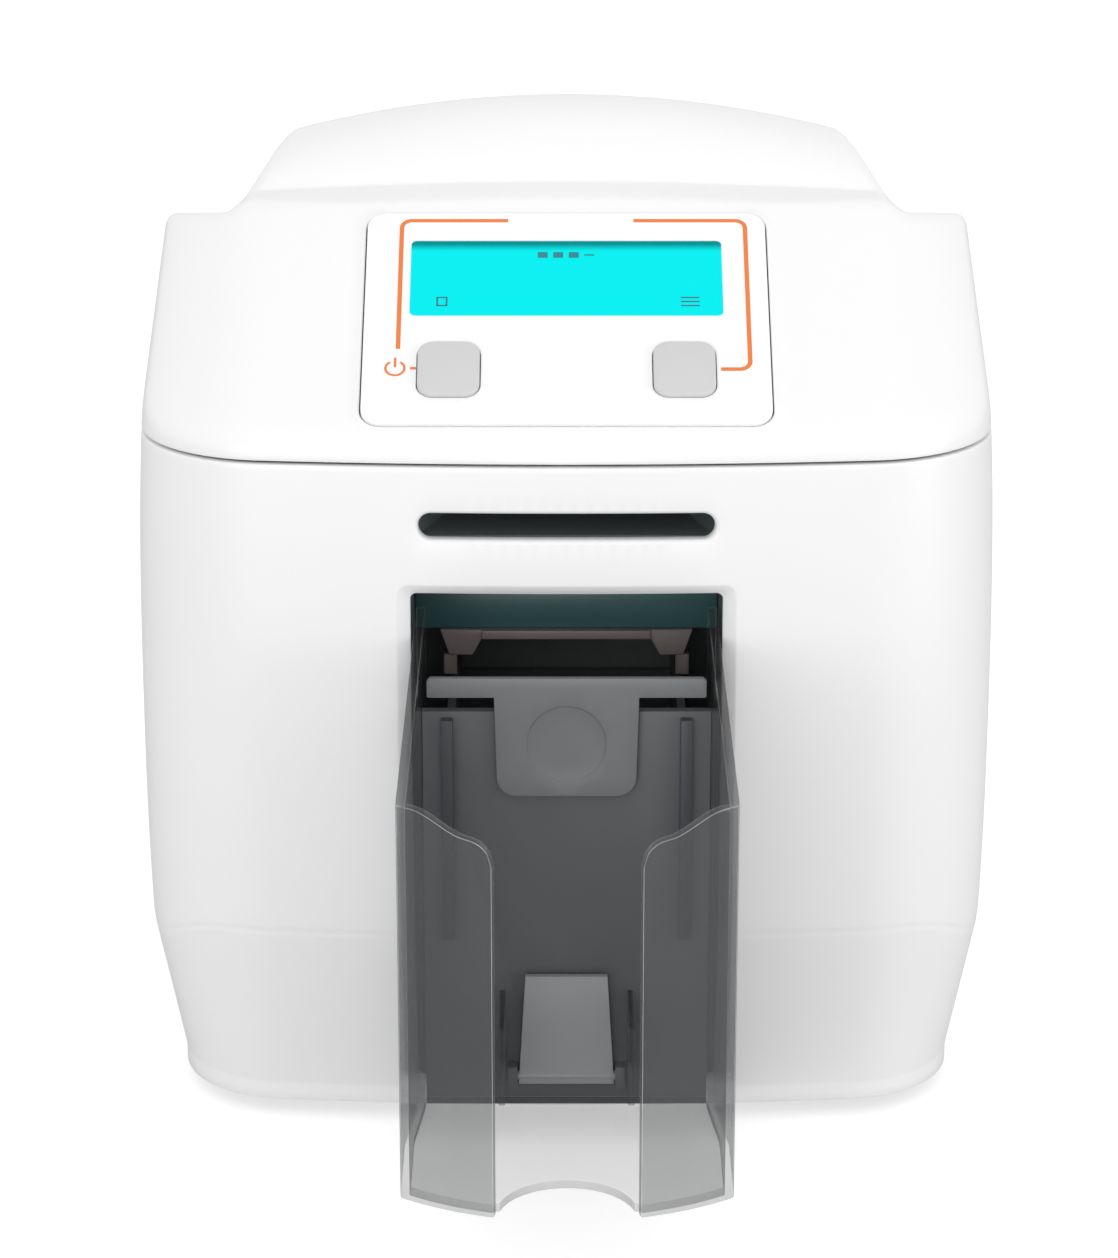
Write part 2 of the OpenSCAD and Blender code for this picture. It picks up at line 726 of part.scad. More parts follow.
module ribbon_motor() color([0.35, 0.36, 0.38]) {
    difference() {
        block([frame_out, takeup_u - 13, spool_z - 14], [frame_out + 2, takeup_u + 13, spool_z + 13]);
        bar_x(spool_journal_r + 1, frame_out - 1, frame_out + 3, takeup_u, spool_z);
    }
    bar_x(12, frame_out + 2, frame_out + 16, takeup_u, spool_z);
}

module belt_loop(extra, x0, x1) {
    hull() {
        for (p = [[pick_u, pick_z], [feed_u, axle_z], [rear_u, axle_z]])
            bar_x(pulley_r + belt_gap + extra, x0, x1, p[0], p[1], $fn = 32);
        bar_x(motor_pulley_r + belt_gap + extra, x0, x1, motor_u, motor_z, $fn = 32);
    }
}

module drive_belt() color([0.1, 0.1, 0.1])
    difference() {
        belt_loop(belt_t, belt_x, belt_x + belt_w);
        belt_loop(0, belt_x - 1, belt_x + belt_w + 1);
    }

module shaft_bushings() color([0.75, 0.6, 0.3])
    both_sides() for (u = [feed_u, platen_u, rear_u]) difference() {
        bar_x(bushing_r, frame_x - 1, frame_out + 0.5, u, axle_z);
        bar_x(shaft_r + shaft_gap, frame_x - 2, frame_out + 1, u, axle_z);
    }

module main_board() color([0.1, 0.35, 0.2])
    difference() {
        block([-board_half, board_front_u, board_z], [board_half, board_back_u, port_z]);
        both_sides() for (u = board_screw_us)
            post(screw_hole_r, board_half - 6, u, board_z - 1, port_z + 1);
    }

// A component of width w, length l and height h on the board, d behind the board's front edge
module chip(x, d, w, l, h) {
    block([x, board_front_u + d, port_z], [x + w, board_front_u + d + l, port_z + h]);
}

module board_components() color([0.15, 0.15, 0.16]) {
    chip(-16, 38, 24, 24, 2.4);
    chip(16, 42, 14, 14, 1.6);
    chip(-40, 26, 12, 20, 1.6);
    chip(-30, 80, 18, 14, 9);
    chip(-46, 54, 8, 18, 7);
    for (x = [20, 32, 44]) post(4, x, board_front_u + 86, port_z, port_z + 12);
}

module screw_down(x, u, z, depth) {
    post(screw_r, x, u, z - depth, z + eps);
    post(head_r, x, u, z, z + head_h);
}

module screws() color([0.6, 0.6, 0.62]) {
    both_sides() for (u = frame_screw_us) screw_down(frame_out + 6, u, tray_z + 2, 4.5);
    both_sides() for (u = board_screw_us) screw_down(board_half - 6, u, port_z, 8);
}

module power_inlet() color([0.1, 0.1, 0.1])
    difference() {
        block([inlet_x - 6, port_front_u, port_z], [inlet_x + 6, panel_back_u, port_z + inlet_h]);
        bar_y(3.2, inlet_x, socket_u + 2, panel_back_u + 1, port_z + inlet_h / 2);
    }

module usb_port() color([0.75, 0.75, 0.78]) {
    difference() {
        block([usb_x - 6, port_front_u, port_z], [usb_x + 6, panel_back_u, port_z + usb_h]);
        block([usb_x - 4.2, socket_u, port_z + 1.8], [usb_x + 4.2, panel_back_u + 1, port_z + usb_h - 1.8]);
    }
    block([usb_x - 2.8, socket_u - 1, port_z + 4], [usb_x + 2.8, panel_back_u - 1.5, port_z + usb_h - 4]);
}

module network_port() color([0.7, 0.7, 0.72])
    difference() {
        block([net_x - 8, port_front_u, port_z], [net_x + 8, panel_back_u, port_z + net_h]);
        block([net_x - 6, socket_u, port_z + 2.5], [net_x + 6, panel_back_u + 1, port_z + net_h - 2.5]);
    }

module rear_panel() color([0.3, 0.31, 0.33])
    difference() {
        block([-rear_panel_half + air, panel_back_u - rear_panel_t, rear_panel_low + air],
            [rear_panel_half - air, panel_back_u, rear_panel_top - air]);
        port_gap(inlet_x, 6, inlet_h);
        port_gap(usb_x, 6, usb_h);
        port_gap(net_x, 8, net_h);
        for (i = [-4 : 4]) let (x = fan_x + slat_pitch * i,
            h = sqrt(pow(fan_bore_r, 2) - pow(slat_pitch * i, 2)))
            block([x - slat_gap / 2, port_front_u, fan_z - h], [x + slat_gap / 2, body_d + 5, fan_z + h]);
    }

// The gap in the rear panel round a connector of half width w and height h
module port_gap(x, w, h) {
    block([x - w - seat, port_front_u, rear_panel_low - 1], [x + w + seat, body_d + 5, port_z + h + seat]);
}

module fan_housing() color([0.12, 0.12, 0.13]) {
    difference() {
        block([fan_x - fan_half, fan_back_u - fan_depth, fan_z - fan_half],
            [fan_x + fan_half, fan_back_u, fan_z + fan_half]);
        bar_y(fan_bore_r, fan_x, fan_back_u - fan_depth - 1, fan_back_u + 1, fan_z);
    }
    difference() {
        union() {
            bar_y(6, fan_x, fan_back_u - fan_depth, fan_back_u - fan_depth + 2, fan_z);
            for (a = [45, 135]) translate([fan_x, at(fan_back_u - fan_depth), fan_z]) rotate([0, a, 0])
                translate([-fan_bore_r - 0.5, 0, -1.2]) cube([2 * fan_bore_r + 1, 2, 2.4]);
        }
        bar_y(fan_shaft_r + shaft_gap, fan_x, fan_back_u - fan_depth - 1, fan_back_u, fan_z);
    }
}

module fan_rotor() color([0.16, 0.16, 0.17]) {
    bar_y(8, fan_x, fan_back_u - fan_depth + 2.4, fan_back_u - 0.6, fan_z);
    bar_y(fan_shaft_r, fan_x, fan_back_u - fan_depth + 0.2, fan_back_u - 2, fan_z);
    for (i = [0 : 6]) translate([fan_x, at(fan_back_u - fan_depth / 2), fan_z]) rotate([0, i * 360 / 7, 0])
        rotate([35, 0, 0]) translate([7, -0.6, -4]) cube([fan_bore_r - 8.2, 1.2, 8]);
}

module hinge_lugs() {
    foot_z = hinge_z - lug_drop;
    lug = [[hinge_u - 27, foot_z], [hinge_u - 5, foot_z], [hinge_u, hinge_z - lug_r],
        [hinge_u, hinge_z + lug_r - 0.5],
        [hinge_u - 4, hinge_z + 4], [hinge_u - 17, foot_z + 8]];
    difference() {
        union() {
            for (x = [frame_out, hinge_out - lug_t]) {
                across_from(x, x + lug_t, lug);
                bar_x(lug_r, x, x + lug_t, hinge_u, hinge_z);
            }
            block([frame_out, hinge_u - lug_foot_l - 13, foot_z],
                [hinge_out, hinge_u - 13, foot_z + lug_foot_h]);
        }
        bar_x(hinge_pin_r + shaft_gap, frame_out - 1, hinge_out + 1, hinge_u, hinge_z);
    }
}

module hinge_brackets() color([0.6, 0.61, 0.64]) both_sides() hinge_lugs();

module hinge_ears() color([0.6, 0.61, 0.64])
    both_sides() difference() {
        union() {
            bar_x(lug_r, ear_x, ear_x + ear_t, hinge_u, hinge_z);
            intersection() {
                across_from(ear_x, ear_x + ear_t, [
                    [hinge_u - 5, hinge_z + 2], [hinge_u + 1, hinge_z + 3], [hinge_u + 1, hinge_z + 30],
                    [hinge_u - ear_l, hinge_z + 40], [hinge_u - ear_l, hinge_z + 12],
                    [hinge_u - 20, hinge_z + 8]]);
                roof(lid_wall + 2 * seat);
            }
        }
        bar_x(hinge_pin_r, ear_x - 1, ear_x + ear_t + 1, hinge_u, hinge_z);
    }

module hinge_pins() color([0.8, 0.8, 0.82])
    both_sides() bar_x(hinge_pin_r, frame_out + seat, hinge_out + 1, hinge_u, hinge_z);

module catch_magnets() color([0.3, 0.3, 0.32])
    both_sides() block([60, casing_wall + 5.2, path_z + 1], [74, casing_wall + 16, path_z + 9]);

module catch_strikers() color([0.7, 0.7, 0.72])
    both_sides() intersection() {
        block([61, casing_wall + 9, path_z + 9 + air], [73, casing_wall + 13, crest_z]);
        lid_form(lid_wall + seat);
    }

module ribbon_film() color([0.2, 0.2, 0.35]) {
    film_leg(platen_u + film_head_half, supply_u, spool_core_r + 3);
    mirror_u(platen_u) film_leg(platen_u + film_head_half, 2 * platen_u - takeup_u, spool_core_r + 1.5);
    block([-card_w / 2 - 1, platen_u - film_head_half, film_z],
        [card_w / 2 + 1, platen_u + film_head_half, film_z + film_t]);
}

module mirror_u(u) {
    translate([0, at(u), 0]) mirror([0, 1, 0]) translate([0, -at(u), 0]) children();
}

// A straight run of film from the head's edge to where it touches a spool of radius r from below
module film_leg(from_u, spool_u, r) {
    gap_r = r + film_t + air;
    d = norm([spool_u - from_u, spool_z - film_z]);
    a = atan2(spool_z - film_z, spool_u - from_u) - asin(gap_r / d);
    run = sqrt(d * d - gap_r * gap_r);
    tip = [from_u + run * cos(a), film_z + run * sin(a)];
    across(card_w + 2, [[from_u, film_z], tip, [tip[0] - film_t * sin(a), tip[1] + film_t * cos(a)],
        [from_u - film_t * sin(a), film_z + film_t * cos(a)]]);
}

module card_sensor() color([0.15, 0.15, 0.16])
    block([-5, motor_u, deck_top_z - deck_t - 6], [5, motor_u + 12, deck_top_z - deck_t]);

module lid_shell() color([0.94, 0.94, 0.95])
    difference() {
        intersection() {
            difference() {
                lid_form(0);
                lid_form(lid_wall);
            }
            union() {
                above_seam(seam_gap / 2);
                both_sides() bar_x(hinge_barrel_r, hinge_out + 8, half_w, hinge_u, hinge_z);
            }
        }
        slope_plate(panel_w + 2 * panel_gap, panel_l + 2 * panel_gap, panel_corner_r + panel_gap, 0, panel_s,
            -lid_wall - 3, 5);
    }

module panel_tray() color([0.2, 0.21, 0.22])
    difference() {
        slope_plate(panel_w + 14, panel_l - 4, 3, 0, panel_s, tray_top - tray_t, tray_top);
        slope_block(0, window_s, window_w + 6, window_l + 6, tray_top - tray_t - 1, tray_top + 1);
        for (x = [-button_x, button_x])
            slope_block(x, button_s, button_w + 4, button_l + 4, tray_top - tray_t - 1, tray_top + 1);
    }

module control_panel() color([0.93, 0.93, 0.94])
    difference() {
        slope_plate(panel_w, panel_l, panel_corner_r, 0, panel_s, tray_top, panel_proud);
        slope_plate(window_w, window_l, 1.5, 0, window_s, tray_top - 1, panel_proud + 1);
        for (x = [-button_x, button_x])
            slope_plate(button_w + 2 * button_gap, button_l + 2 * button_gap,
                button_corner_r + button_gap, x, button_s,
                tray_top - 1, panel_proud + 1);
    }

module display_window() color([0.2, 0.85, 0.88])
    slope_plate(window_w - 2 * seat, window_l - 2 * seat, 1.4, 0, window_s, panel_proud - 2,
        panel_proud - 0.3);

module display_module() color([0.15, 0.2, 0.2]) {
    slope_block(0, window_s, window_w + 4, window_l + 4, tray_top - 6, tray_top - seat);
    slope_block(0, window_s, window_w - 1, window_l - 1, tray_top - seat, panel_proud - 2 - seat);
}

module button_board() color([0.1, 0.35, 0.2]) {
    difference() {
        slope_block(0, button_s + 0.5, panel_w - 10, button_l + 8, board_top - board_t, board_top);
        slope_block(0, button_s + 0.5, 6, 6, board_top - board_t - 1, board_top + 1);
    }
    for (x = [-button_x, button_x]) slope_block(x, button_s, 6, 6, board_top, board_top + 1);
    for (x = [-44.5, 44.5]) slope_block(x, button_s + 0.5, 4, button_l + 6, board_top, tray_top - tray_t);
}

module button(x) {
    slope_plate(button_w, button_l, button_corner_r, x, button_s, tray_top - air, panel_proud + 1.1);
    slope_plate(button_w + 2.6, button_l + 2.6, button_corner_r, x, button_s, tray_top - air - 1,
        tray_top - air);
    slope_block(x, button_s, 4, 4, board_top + 1 + button_travel + seat, tray_top - air - 1);
}

module left_button() color([0.78, 0.79, 0.8]) button(-button_x);
module right_button() color([0.78, 0.79, 0.8]) button(button_x);

module head_bracket() color([0.6, 0.61, 0.64])
    both_sides() intersection() {
        difference() {
            block([head_half, platen_u - arm_half, sink_z], [head_half + arm_t, platen_u + arm_half, body_h]);
            block([head_half - 1, platen_u - arm_half + arm_rim, sink_z + arm_cut_low],
                [head_half + arm_t + 1, platen_u + arm_half - arm_rim, sink_z + arm_cut_top]);
        }
        hump(lid_wall + seat);
    }

module head_heatsink() color([0.7, 0.71, 0.73]) {
    block([-head_half, platen_u - sink_half, sink_z],
        [head_half, platen_u + sink_half, sink_z + sink_base_h]);
    for (i = [-sink_side_fins : sink_side_fins])
        block([sink_pitch * i - sink_fin_t / 2, platen_u - sink_half, sink_z + sink_base_h],
            [sink_pitch * i + sink_fin_t / 2, platen_u + sink_half, sink_z + sink_h]);
}

module print_head() color([0.8, 0.78, 0.7]) {
    block([-head_half, platen_u - head_body_half, head_z + head_edge_h],
        [head_half, platen_u + head_body_half, sink_z]);
    block([-card_w / 2 - 1, platen_u - 2, head_z], [card_w / 2 + 1, platen_u + 2, head_z + head_edge_h]);
}

// A driven roller: shaft, rubber sleeve and pulley turn as one
module driven_roller(u, z, r, length, left_end) {
    bar_x(shaft_r, -left_end, belt_x + belt_w, u, z);
    bar_x(r, -length / 2, length / 2, u, z);
    bar_x(pulley_r, belt_x, belt_x + belt_w, u, z);
}

module feed_roller() color([0.16, 0.16, 0.16]) driven_roller(feed_u, axle_z, roller_r, card_w + 2,
    frame_out + 1);
module platen_roller() color([0.16, 0.16, 0.16]) driven_roller(platen_u, axle_z, roller_r, card_w + 4,
    frame_out + 1);
module rear_roller() color([0.16, 0.16, 0.16]) driven_roller(rear_u, axle_z, roller_r, card_w + 2,
    frame_out + 1);
module pick_roller() color([0.16, 0.16, 0.16])
    driven_roller(pick_u, pick_z, pick_r, 30, mouth_w / 2 + bay_wall + seat + 1);

module motor_pulley() color([0.75, 0.75, 0.78]) {
    bar_x(motor_shaft_r, frame_x - 10, belt_x + belt_w, motor_u, motor_z);
    bar_x(motor_pulley_r, belt_x, belt_x + belt_w, motor_u, motor_z);
}

module upper_roller(u, r) {
    bar_x(upper_shaft_r, -frame_out - 1, frame_out + 1, u, upper_axle_z(r));
    bar_x(r, -card_w / 2 + 2, card_w / 2 - 2, u, upper_axle_z(r));
}

module pinch_roller() color([0.3, 0.3, 0.3]) upper_roller(rear_u, pinch_r);
module cleaning_roller() color([0.2, 0.45, 0.75]) upper_roller(cleaning_u, cleaning_r);

module spool(u, film_r) {
    bar_x(spool_journal_r, -frame_out - 1, frame_out + 1.8, u, spool_z);
    bar_x(spool_core_r, -card_w / 2 - 3, card_w / 2 + 3, u, spool_z);
    bar_x(film_r, -card_w / 2 - 1, card_w / 2 + 1, u, spool_z);
    both_sides() bar_x(spool_flange_r, card_w / 2 + 3, card_w / 2 + 5, u, spool_z);
}

module supply_spool() color([0.25, 0.25, 0.4]) spool(supply_u, spool_core_r + 3);
module takeup_spool() color([0.25, 0.25, 0.4]) spool(takeup_u, spool_core_r + 1.5);

module hopper_profile(x0, x1) {
    across_from(x0, x1, [
        [hopper_side_front_u - 2, shelf_z - hopper_wall],
        [hopper_front_u + shelf_d + 6, shelf_z - hopper_wall],
        [ramp_end_u - 1, ramp_end_z - hopper_wall], [-0.5, ramp_end_z - hopper_wall], [1.2, box_floor_z],
        [hopper_inside_u, box_floor_z], [hopper_inside_u, hopper_top_z],
        [hopper_side_front_u - 2, hopper_top_z]]);
}

module hopper_round(r) post(r, 0, wing_center_u, 0, hopper_top_z + 10);

module hopper_shell() color([0.75, 0.77, 0.78, 0.45])
    difference() {
        intersection() {
            union() {
                both_sides() hopper_profile(hopper_in, hopper_half);
                block([-hopper_half, hopper_front_u, shelf_z - hopper_wall],
                    [hopper_half, hopper_front_u + shelf_d + 6, shelf_z]);
                across(2 * hopper_half, [
                    [hopper_front_u + shelf_d + 6, shelf_z - hopper_wall],
                    [ramp_end_u - 1, ramp_end_z - hopper_wall],
                    [feeder_front_u, ramp_end_z - hopper_wall], [feeder_front_u, ramp_end_z],
                    [ramp_end_u, ramp_end_z],
                    [hopper_front_u + shelf_d + 6, shelf_z]]);
                difference() {
                    block([-hopper_half, hopper_front_u, shelf_z - hopper_wall],
                        [hopper_half, hopper_side_front_u + 2, hopper_top_z]);
                    post(wing_r - hopper_wall, 0, wing_center_u, shelf_z, hopper_top_z + 10);
                    block([-wing_gap_half, hopper_front_u - 5, shelf_z],
                        [wing_gap_half, hopper_side_front_u + 5, hopper_top_z + 5]);
                    both_sides() translate([0, at(hopper_front_u - 5), 0]) rotate([90, 0, 0])
                        translate([0, 0, -40]) linear_extrude(height = 40)
                        polygon([[0, hopper_top_z + 1], [hopper_half - 6, hopper_top_z + 1],
                            [hopper_half - 6, hopper_top_z],
                            [wing_gap_half, hopper_top_z - wing_drop], [0, hopper_top_z - wing_drop]]);
                }
            }
            union() {
                hopper_round(wing_r);
                block([-hopper_half, hopper_side_front_u + 8, 0], [hopper_half, 40, hopper_top_z + 5]);
            }
        }
        post(thumb_r, 0, hopper_front_u - 1, 0, shelf_z + 5);
        block([-wing_gap_half, hopper_front_u - 5, 0], [wing_gap_half, hopper_front_u + 3, shelf_z + 5]);
    }

module feeder_wall() color([0.33, 0.34, 0.35])
    difference() {
        union() {
            block([-hopper_in + seat, feeder_front_u, ramp_end_z - hopper_wall + seat],
                [hopper_in - seat, feeder_front_u + feeder_wall_t, feeder_top_z]);
            both_sides() block([tongue_half + air, tongue_u - 2, tongue_axis_z - 3],
                [tongue_half + air + tongue_ear, feeder_front_u, tongue_axis_z + 3]);
        }
        bar_x(tongue_pin_r + shaft_gap, -hopper_in, hopper_in, tongue_u, tongue_axis_z);
        block([-finger_cut_half, feeder_front_u - 1, cover_top_z - tab_h + 4],
            [finger_cut_half, feeder_front_u + 5, feeder_top_z + 1]);
        for (x = [-tongue_slit_x, tongue_slit_x]) block([x - tongue_slit_half, feeder_front_u - 1,
            tongue_bottom_z + 4],
            [x + tongue_slit_half, feeder_front_u + 5, tongue_bottom_z + 10]);
    }

module guide_ribs() color([0.15, 0.16, 0.17])
    both_sides() block([bay_half, cover_front_u - 0.5, rib_low_z],
        [bay_half + rib_w, feeder_front_u, rib_top_z]);

module hopper_fins() color([0.8, 0.82, 0.83, 0.6])
    both_sides() block([fin_x, fin_front_u, fin_low_z], [fin_x + fin_t, feeder_front_u, fin_top_z]);

module feeder_box() color([0.2, 0.21, 0.22])
    difference() {
        union() {
            block([-hopper_in + seat, feeder_front_u + feeder_wall_t, box_floor_z],
                [hopper_in - seat, box_back_u, box_floor_z + box_floor_t]);
            both_sides() block([bay_half, feeder_front_u + feeder_wall_t, box_floor_z],
                [bay_half + bay_wall, box_back_u, box_top_z]);
            block([-bay_half, box_back_u - bay_wall, box_floor_z], [bay_half, box_back_u, box_top_z - 14]);
        }
        block([-10, 20, 0], [10, 60, box_floor_z + box_floor_t + 1]);
    }

module latch_tongue() color([0.25, 0.26, 0.27]) {
    top_half = tongue_half - tongue_taper;
    translate([0, at(tongue_u + tongue_t / 2), 0]) rotate([90, 0, 0]) linear_extrude(height = tongue_t)
        polygon([[-tongue_half, tongue_bottom_z], [tongue_half, tongue_bottom_z],
            [top_half, tongue_bottom_z + tongue_h], [-top_half, tongue_bottom_z + tongue_h]]);
    bar_x(tongue_pin_r, -tongue_half - air - tongue_ear, tongue_half + air + tongue_ear, tongue_u,
        tongue_axis_z);
}

module feeder_cover() color([0.46, 0.47, 0.48])
    difference() {
        union() {
            block([-cover_w / 2, cover_front_u, cover_top_z - cover_bar_h],
                [cover_w / 2, cover_back_u, cover_top_z]);
            block([-tab_half, cover_front_u, cover_top_z - tab_h], [tab_half, cover_back_u, cover_top_z]);
        }
        bar_y(recess_r, 0, cover_front_u - 1, cover_front_u + cover_t / 2,
            cover_top_z - tab_h + recess_r + 3);
    }

module card_lift() color([0.5, 0.5, 0.52])
    block([-bay_half + air, box_in_u, lift_z], [bay_half - air, box_back_u - bay_wall - 1, lift_z + lift_t]);

base_tray();
rubber_feet();
body_shell();
left_side_frame();
right_side_frame();
cross_bars();
card_deck();
feed_ramp();
card_bay();
exit_chute();
feed_gate();
slot_guide();
transport_motor();
ribbon_motor();
drive_belt();
shaft_bushings();
main_board();
board_components();
screws();
power_inlet();
usb_port();
network_port();
rear_panel();
fan_housing();
hinge_brackets();
catch_magnets();
ribbon_film();
card_sensor();
lid_shell();
panel_tray();
control_panel();
display_window();
display_module();
button_board();
hinge_ears();
hinge_pins();
head_bracket();
head_heatsink();
print_head();
catch_strikers();
left_button();
right_button();
feed_roller();
platen_roller();
rear_roller();
pick_roller();
motor_pulley();
pinch_roller();
cleaning_roller();
supply_spool();
takeup_spool();
fan_rotor();
hopper_shell();
feeder_wall();
guide_ribs();
hopper_fins();
feeder_box();
latch_tongue();
feeder_cover();
card_lift();
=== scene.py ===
import math

import bmesh
import bpy
import numpy as np
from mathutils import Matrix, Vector
from mathutils.geometry import delaunay_2d_cdt


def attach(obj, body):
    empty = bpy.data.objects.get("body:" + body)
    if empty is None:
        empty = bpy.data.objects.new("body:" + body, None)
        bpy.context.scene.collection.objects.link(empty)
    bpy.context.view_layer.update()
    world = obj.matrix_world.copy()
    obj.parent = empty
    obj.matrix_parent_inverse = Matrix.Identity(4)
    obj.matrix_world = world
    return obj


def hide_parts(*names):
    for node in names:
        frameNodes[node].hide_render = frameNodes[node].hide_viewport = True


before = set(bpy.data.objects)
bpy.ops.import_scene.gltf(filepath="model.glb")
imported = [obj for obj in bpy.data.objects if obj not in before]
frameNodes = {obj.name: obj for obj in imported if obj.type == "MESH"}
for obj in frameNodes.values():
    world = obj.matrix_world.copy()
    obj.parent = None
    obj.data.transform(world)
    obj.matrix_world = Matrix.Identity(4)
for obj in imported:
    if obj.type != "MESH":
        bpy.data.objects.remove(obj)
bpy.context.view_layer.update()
mm = 0.001
frontY = -110.0  # the casing's front face in millimetres; u is the distance behind it

# The camera stands a metre before the front face and looks 18.5 degrees down.
view = {"place": (-0.0019, -1.0583, 0.4565), "pitch": 71.5, "lens": 114.1, "sensor": 36, "near": 0.05}
cameraData = bpy.data.cameras.new("photoCamera")
cameraData.lens = view["lens"]
cameraData.sensor_width = view["sensor"]
cameraData.clip_start = view["near"]
camera = bpy.data.objects.new("photoCamera", cameraData)
camera.location = view["place"]
camera.rotation_euler = (math.radians(view["pitch"]), 0, 0)
bpy.context.scene.collection.objects.link(camera)
bpy.context.scene.camera = camera
bpy.context.scene.view_settings.view_transform = "Standard"


def linear(hexText):  # sRGB hex to Blender's linear colour
    parts = [int(hexText[i : i + 2], 16) / 255 for i in (0, 2, 4)]
    return tuple(c / 12.92 if c <= 0.04045 else ((c + 0.055) / 1.055) ** 2.4 for c in parts) + (1.0,)


def addNode(tree, kind, settings=None, links=None):
    node = tree.nodes.new("ShaderNode" + kind)
    for name, value in (settings or {}).items():
        if isinstance(name, int) or name in node.inputs:
            node.inputs[name].default_value = value
        else:
            setattr(node, name, value)
    for name, socket in (links or {}).items():
        tree.links.new(socket, node.inputs[name])
    return node


def newMaterial(name):
    material = bpy.data.materials.new(name)
    material.use_nodes = True
    tree = material.node_tree
    return material, tree, tree.nodes["Principled BSDF"]


# Floor, world and lamps
studio = {
    "world": 0.79,
    "floor": "C4C4C4",
    "floorRoughness": 0.9,
    "floorSpan": (9, -6, 14),  # half width, near edge and far edge
    "floorGlow": 0.66,
    "aim": (0, 0.05, 0.12),
    "lamps": [
        # name, place in metres, size, watts
        ("topSoftbox", (0.0, 0.2, 2.4), 2.0, 4),
        ("frontSoftbox", (-0.4, -2.6, 0.5), 1.4, 15),
        ("leftStrip", (-1.0, -1.7, 0.35), 0.6, 4.0),
        ("rightStrip", (1.5, -0.9, 0.3), 0.6, 6.0),
    ],
}
world = bpy.data.worlds.new("paleStudio")
bpy.context.scene.world = world
world.use_nodes = True
tree = world.node_tree
rays = addNode(tree, "LightPath")
seen = addNode(tree, "Math", {"operation": "MAXIMUM"},
    {0: rays.outputs["Is Camera Ray"], 1: rays.outputs["Is Glossy Ray"]})
seen = addNode(tree, "Math", {"operation": "MAXIMUM"},
    {0: seen.outputs[0], 1: rays.outputs["Is Transmission Ray"]})
level = addNode(tree, "MapRange", {"To Min": studio["world"], "To Max": 1.0}, {"Value": seen.outputs[0]})
background = tree.nodes["Background"]
background.inputs["Color"].default_value = (1, 1, 1, 1)
tree.links.new(level.outputs["Result"], background.inputs["Strength"])

for name, place, size, watts in studio["lamps"]:
    lampData = bpy.data.lights.new(name, "AREA")
    lampData.shape = "SQUARE"
    lampData.size = size
    lampData.energy = watts
    lamp = bpy.data.objects.new(name, lampData)
    lamp.location = place
    lamp.rotation_euler = (Vector(studio["aim"]) - Vector(place)).to_track_quat("-Z", "Y").to_euler()
    bpy.context.scene.collection.objects.link(lamp)

floorMesh = bpy.data.meshes.new("floor")
halfX, nearY, farY = studio["floorSpan"]
corners = [(-halfX, nearY, 0), (halfX, nearY, 0), (halfX, farY, 0), (-halfX, farY, 0)]
floorMesh.from_pydata(corners, [], [(0, 1, 2, 3)])
floor = bpy.data.objects.new("floor", floorMesh)
bpy.context.scene.collection.objects.link(floor)
paleFloor, tree, shader = newMaterial("paleFloor")
shader.inputs["Base Color"].default_value = linear(studio["floor"])
shader.inputs["Roughness"].default_value = studio["floorRoughness"]
rays = addNode(tree, "LightPath")
glow = addNode(tree, "Math", {"operation": "MULTIPLY", 1: studio["floorGlow"]},
    {0: rays.outputs["Is Camera Ray"]})
shine = addNode(tree, "Emission", {"Color": (1, 1, 1, 1)}, {"Strength": glow.outputs[0]})
both = addNode(tree, "AddShader", None, {0: shader.outputs[0], 1: shine.outputs[0]})
tree.links.new(both.outputs[0], tree.nodes["Material Output"].inputs["Surface"])
floorMesh.materials.append(paleFloor)
print("stage: camera, lamps and floor")


# One routine for every opaque finish: a broad drift of colour and gloss over a fine grain in the bump.
# grain and drift are the patterns' sizes in millimetres, relief the grain's depth. Real mould grain is
# nearer a tenth of a millimetre; it is drawn at half a millimetre and more, so that it shows
def finish(name, colour, roughness, spread=0.05, grain=0.7, relief=0.01, drift=35, tint=0.03, **sockets):
    material, tree, shader = newMaterial(name)
    place = addNode(tree, "TexCoord").outputs["Object"]
    fine = addNode(tree, "TexNoise", {"Scale": 1000 / grain, "Detail": 2.0}, {"Vector": place})
    broad = addNode(tree, "TexNoise", {"Scale": 1000 / drift, "Detail": 3.0}, {"Vector": place})
    base = linear(colour)
    dark = tuple(c * (1 - tint) for c in base[:3]) + (1.0,)
    hue = addNode(tree, "Mix", {"data_type": "RGBA", 6: dark, 7: base}, {0: broad.outputs["Fac"]})
    gloss = addNode(tree, "MapRange",
        {"To Min": max(roughness - spread, 0.02), "To Max": min(roughness + spread, 1.0)},
        {"Value": broad.outputs["Fac"]})
    bump = addNode(tree, "Bump", {"Strength": 0.6, "Distance": relief * mm}, {"Height": fine.outputs["Fac"]})
    tree.links.new(hue.outputs[2], shader.inputs["Base Color"])
    tree.links.new(gloss.outputs["Result"], shader.inputs["Roughness"])
    tree.links.new(bump.outputs["Normal"], shader.inputs["Normal"])
    for socket, value in sockets.items():
        shader.inputs[socket.replace("_", " ")].default_value = value
    return material


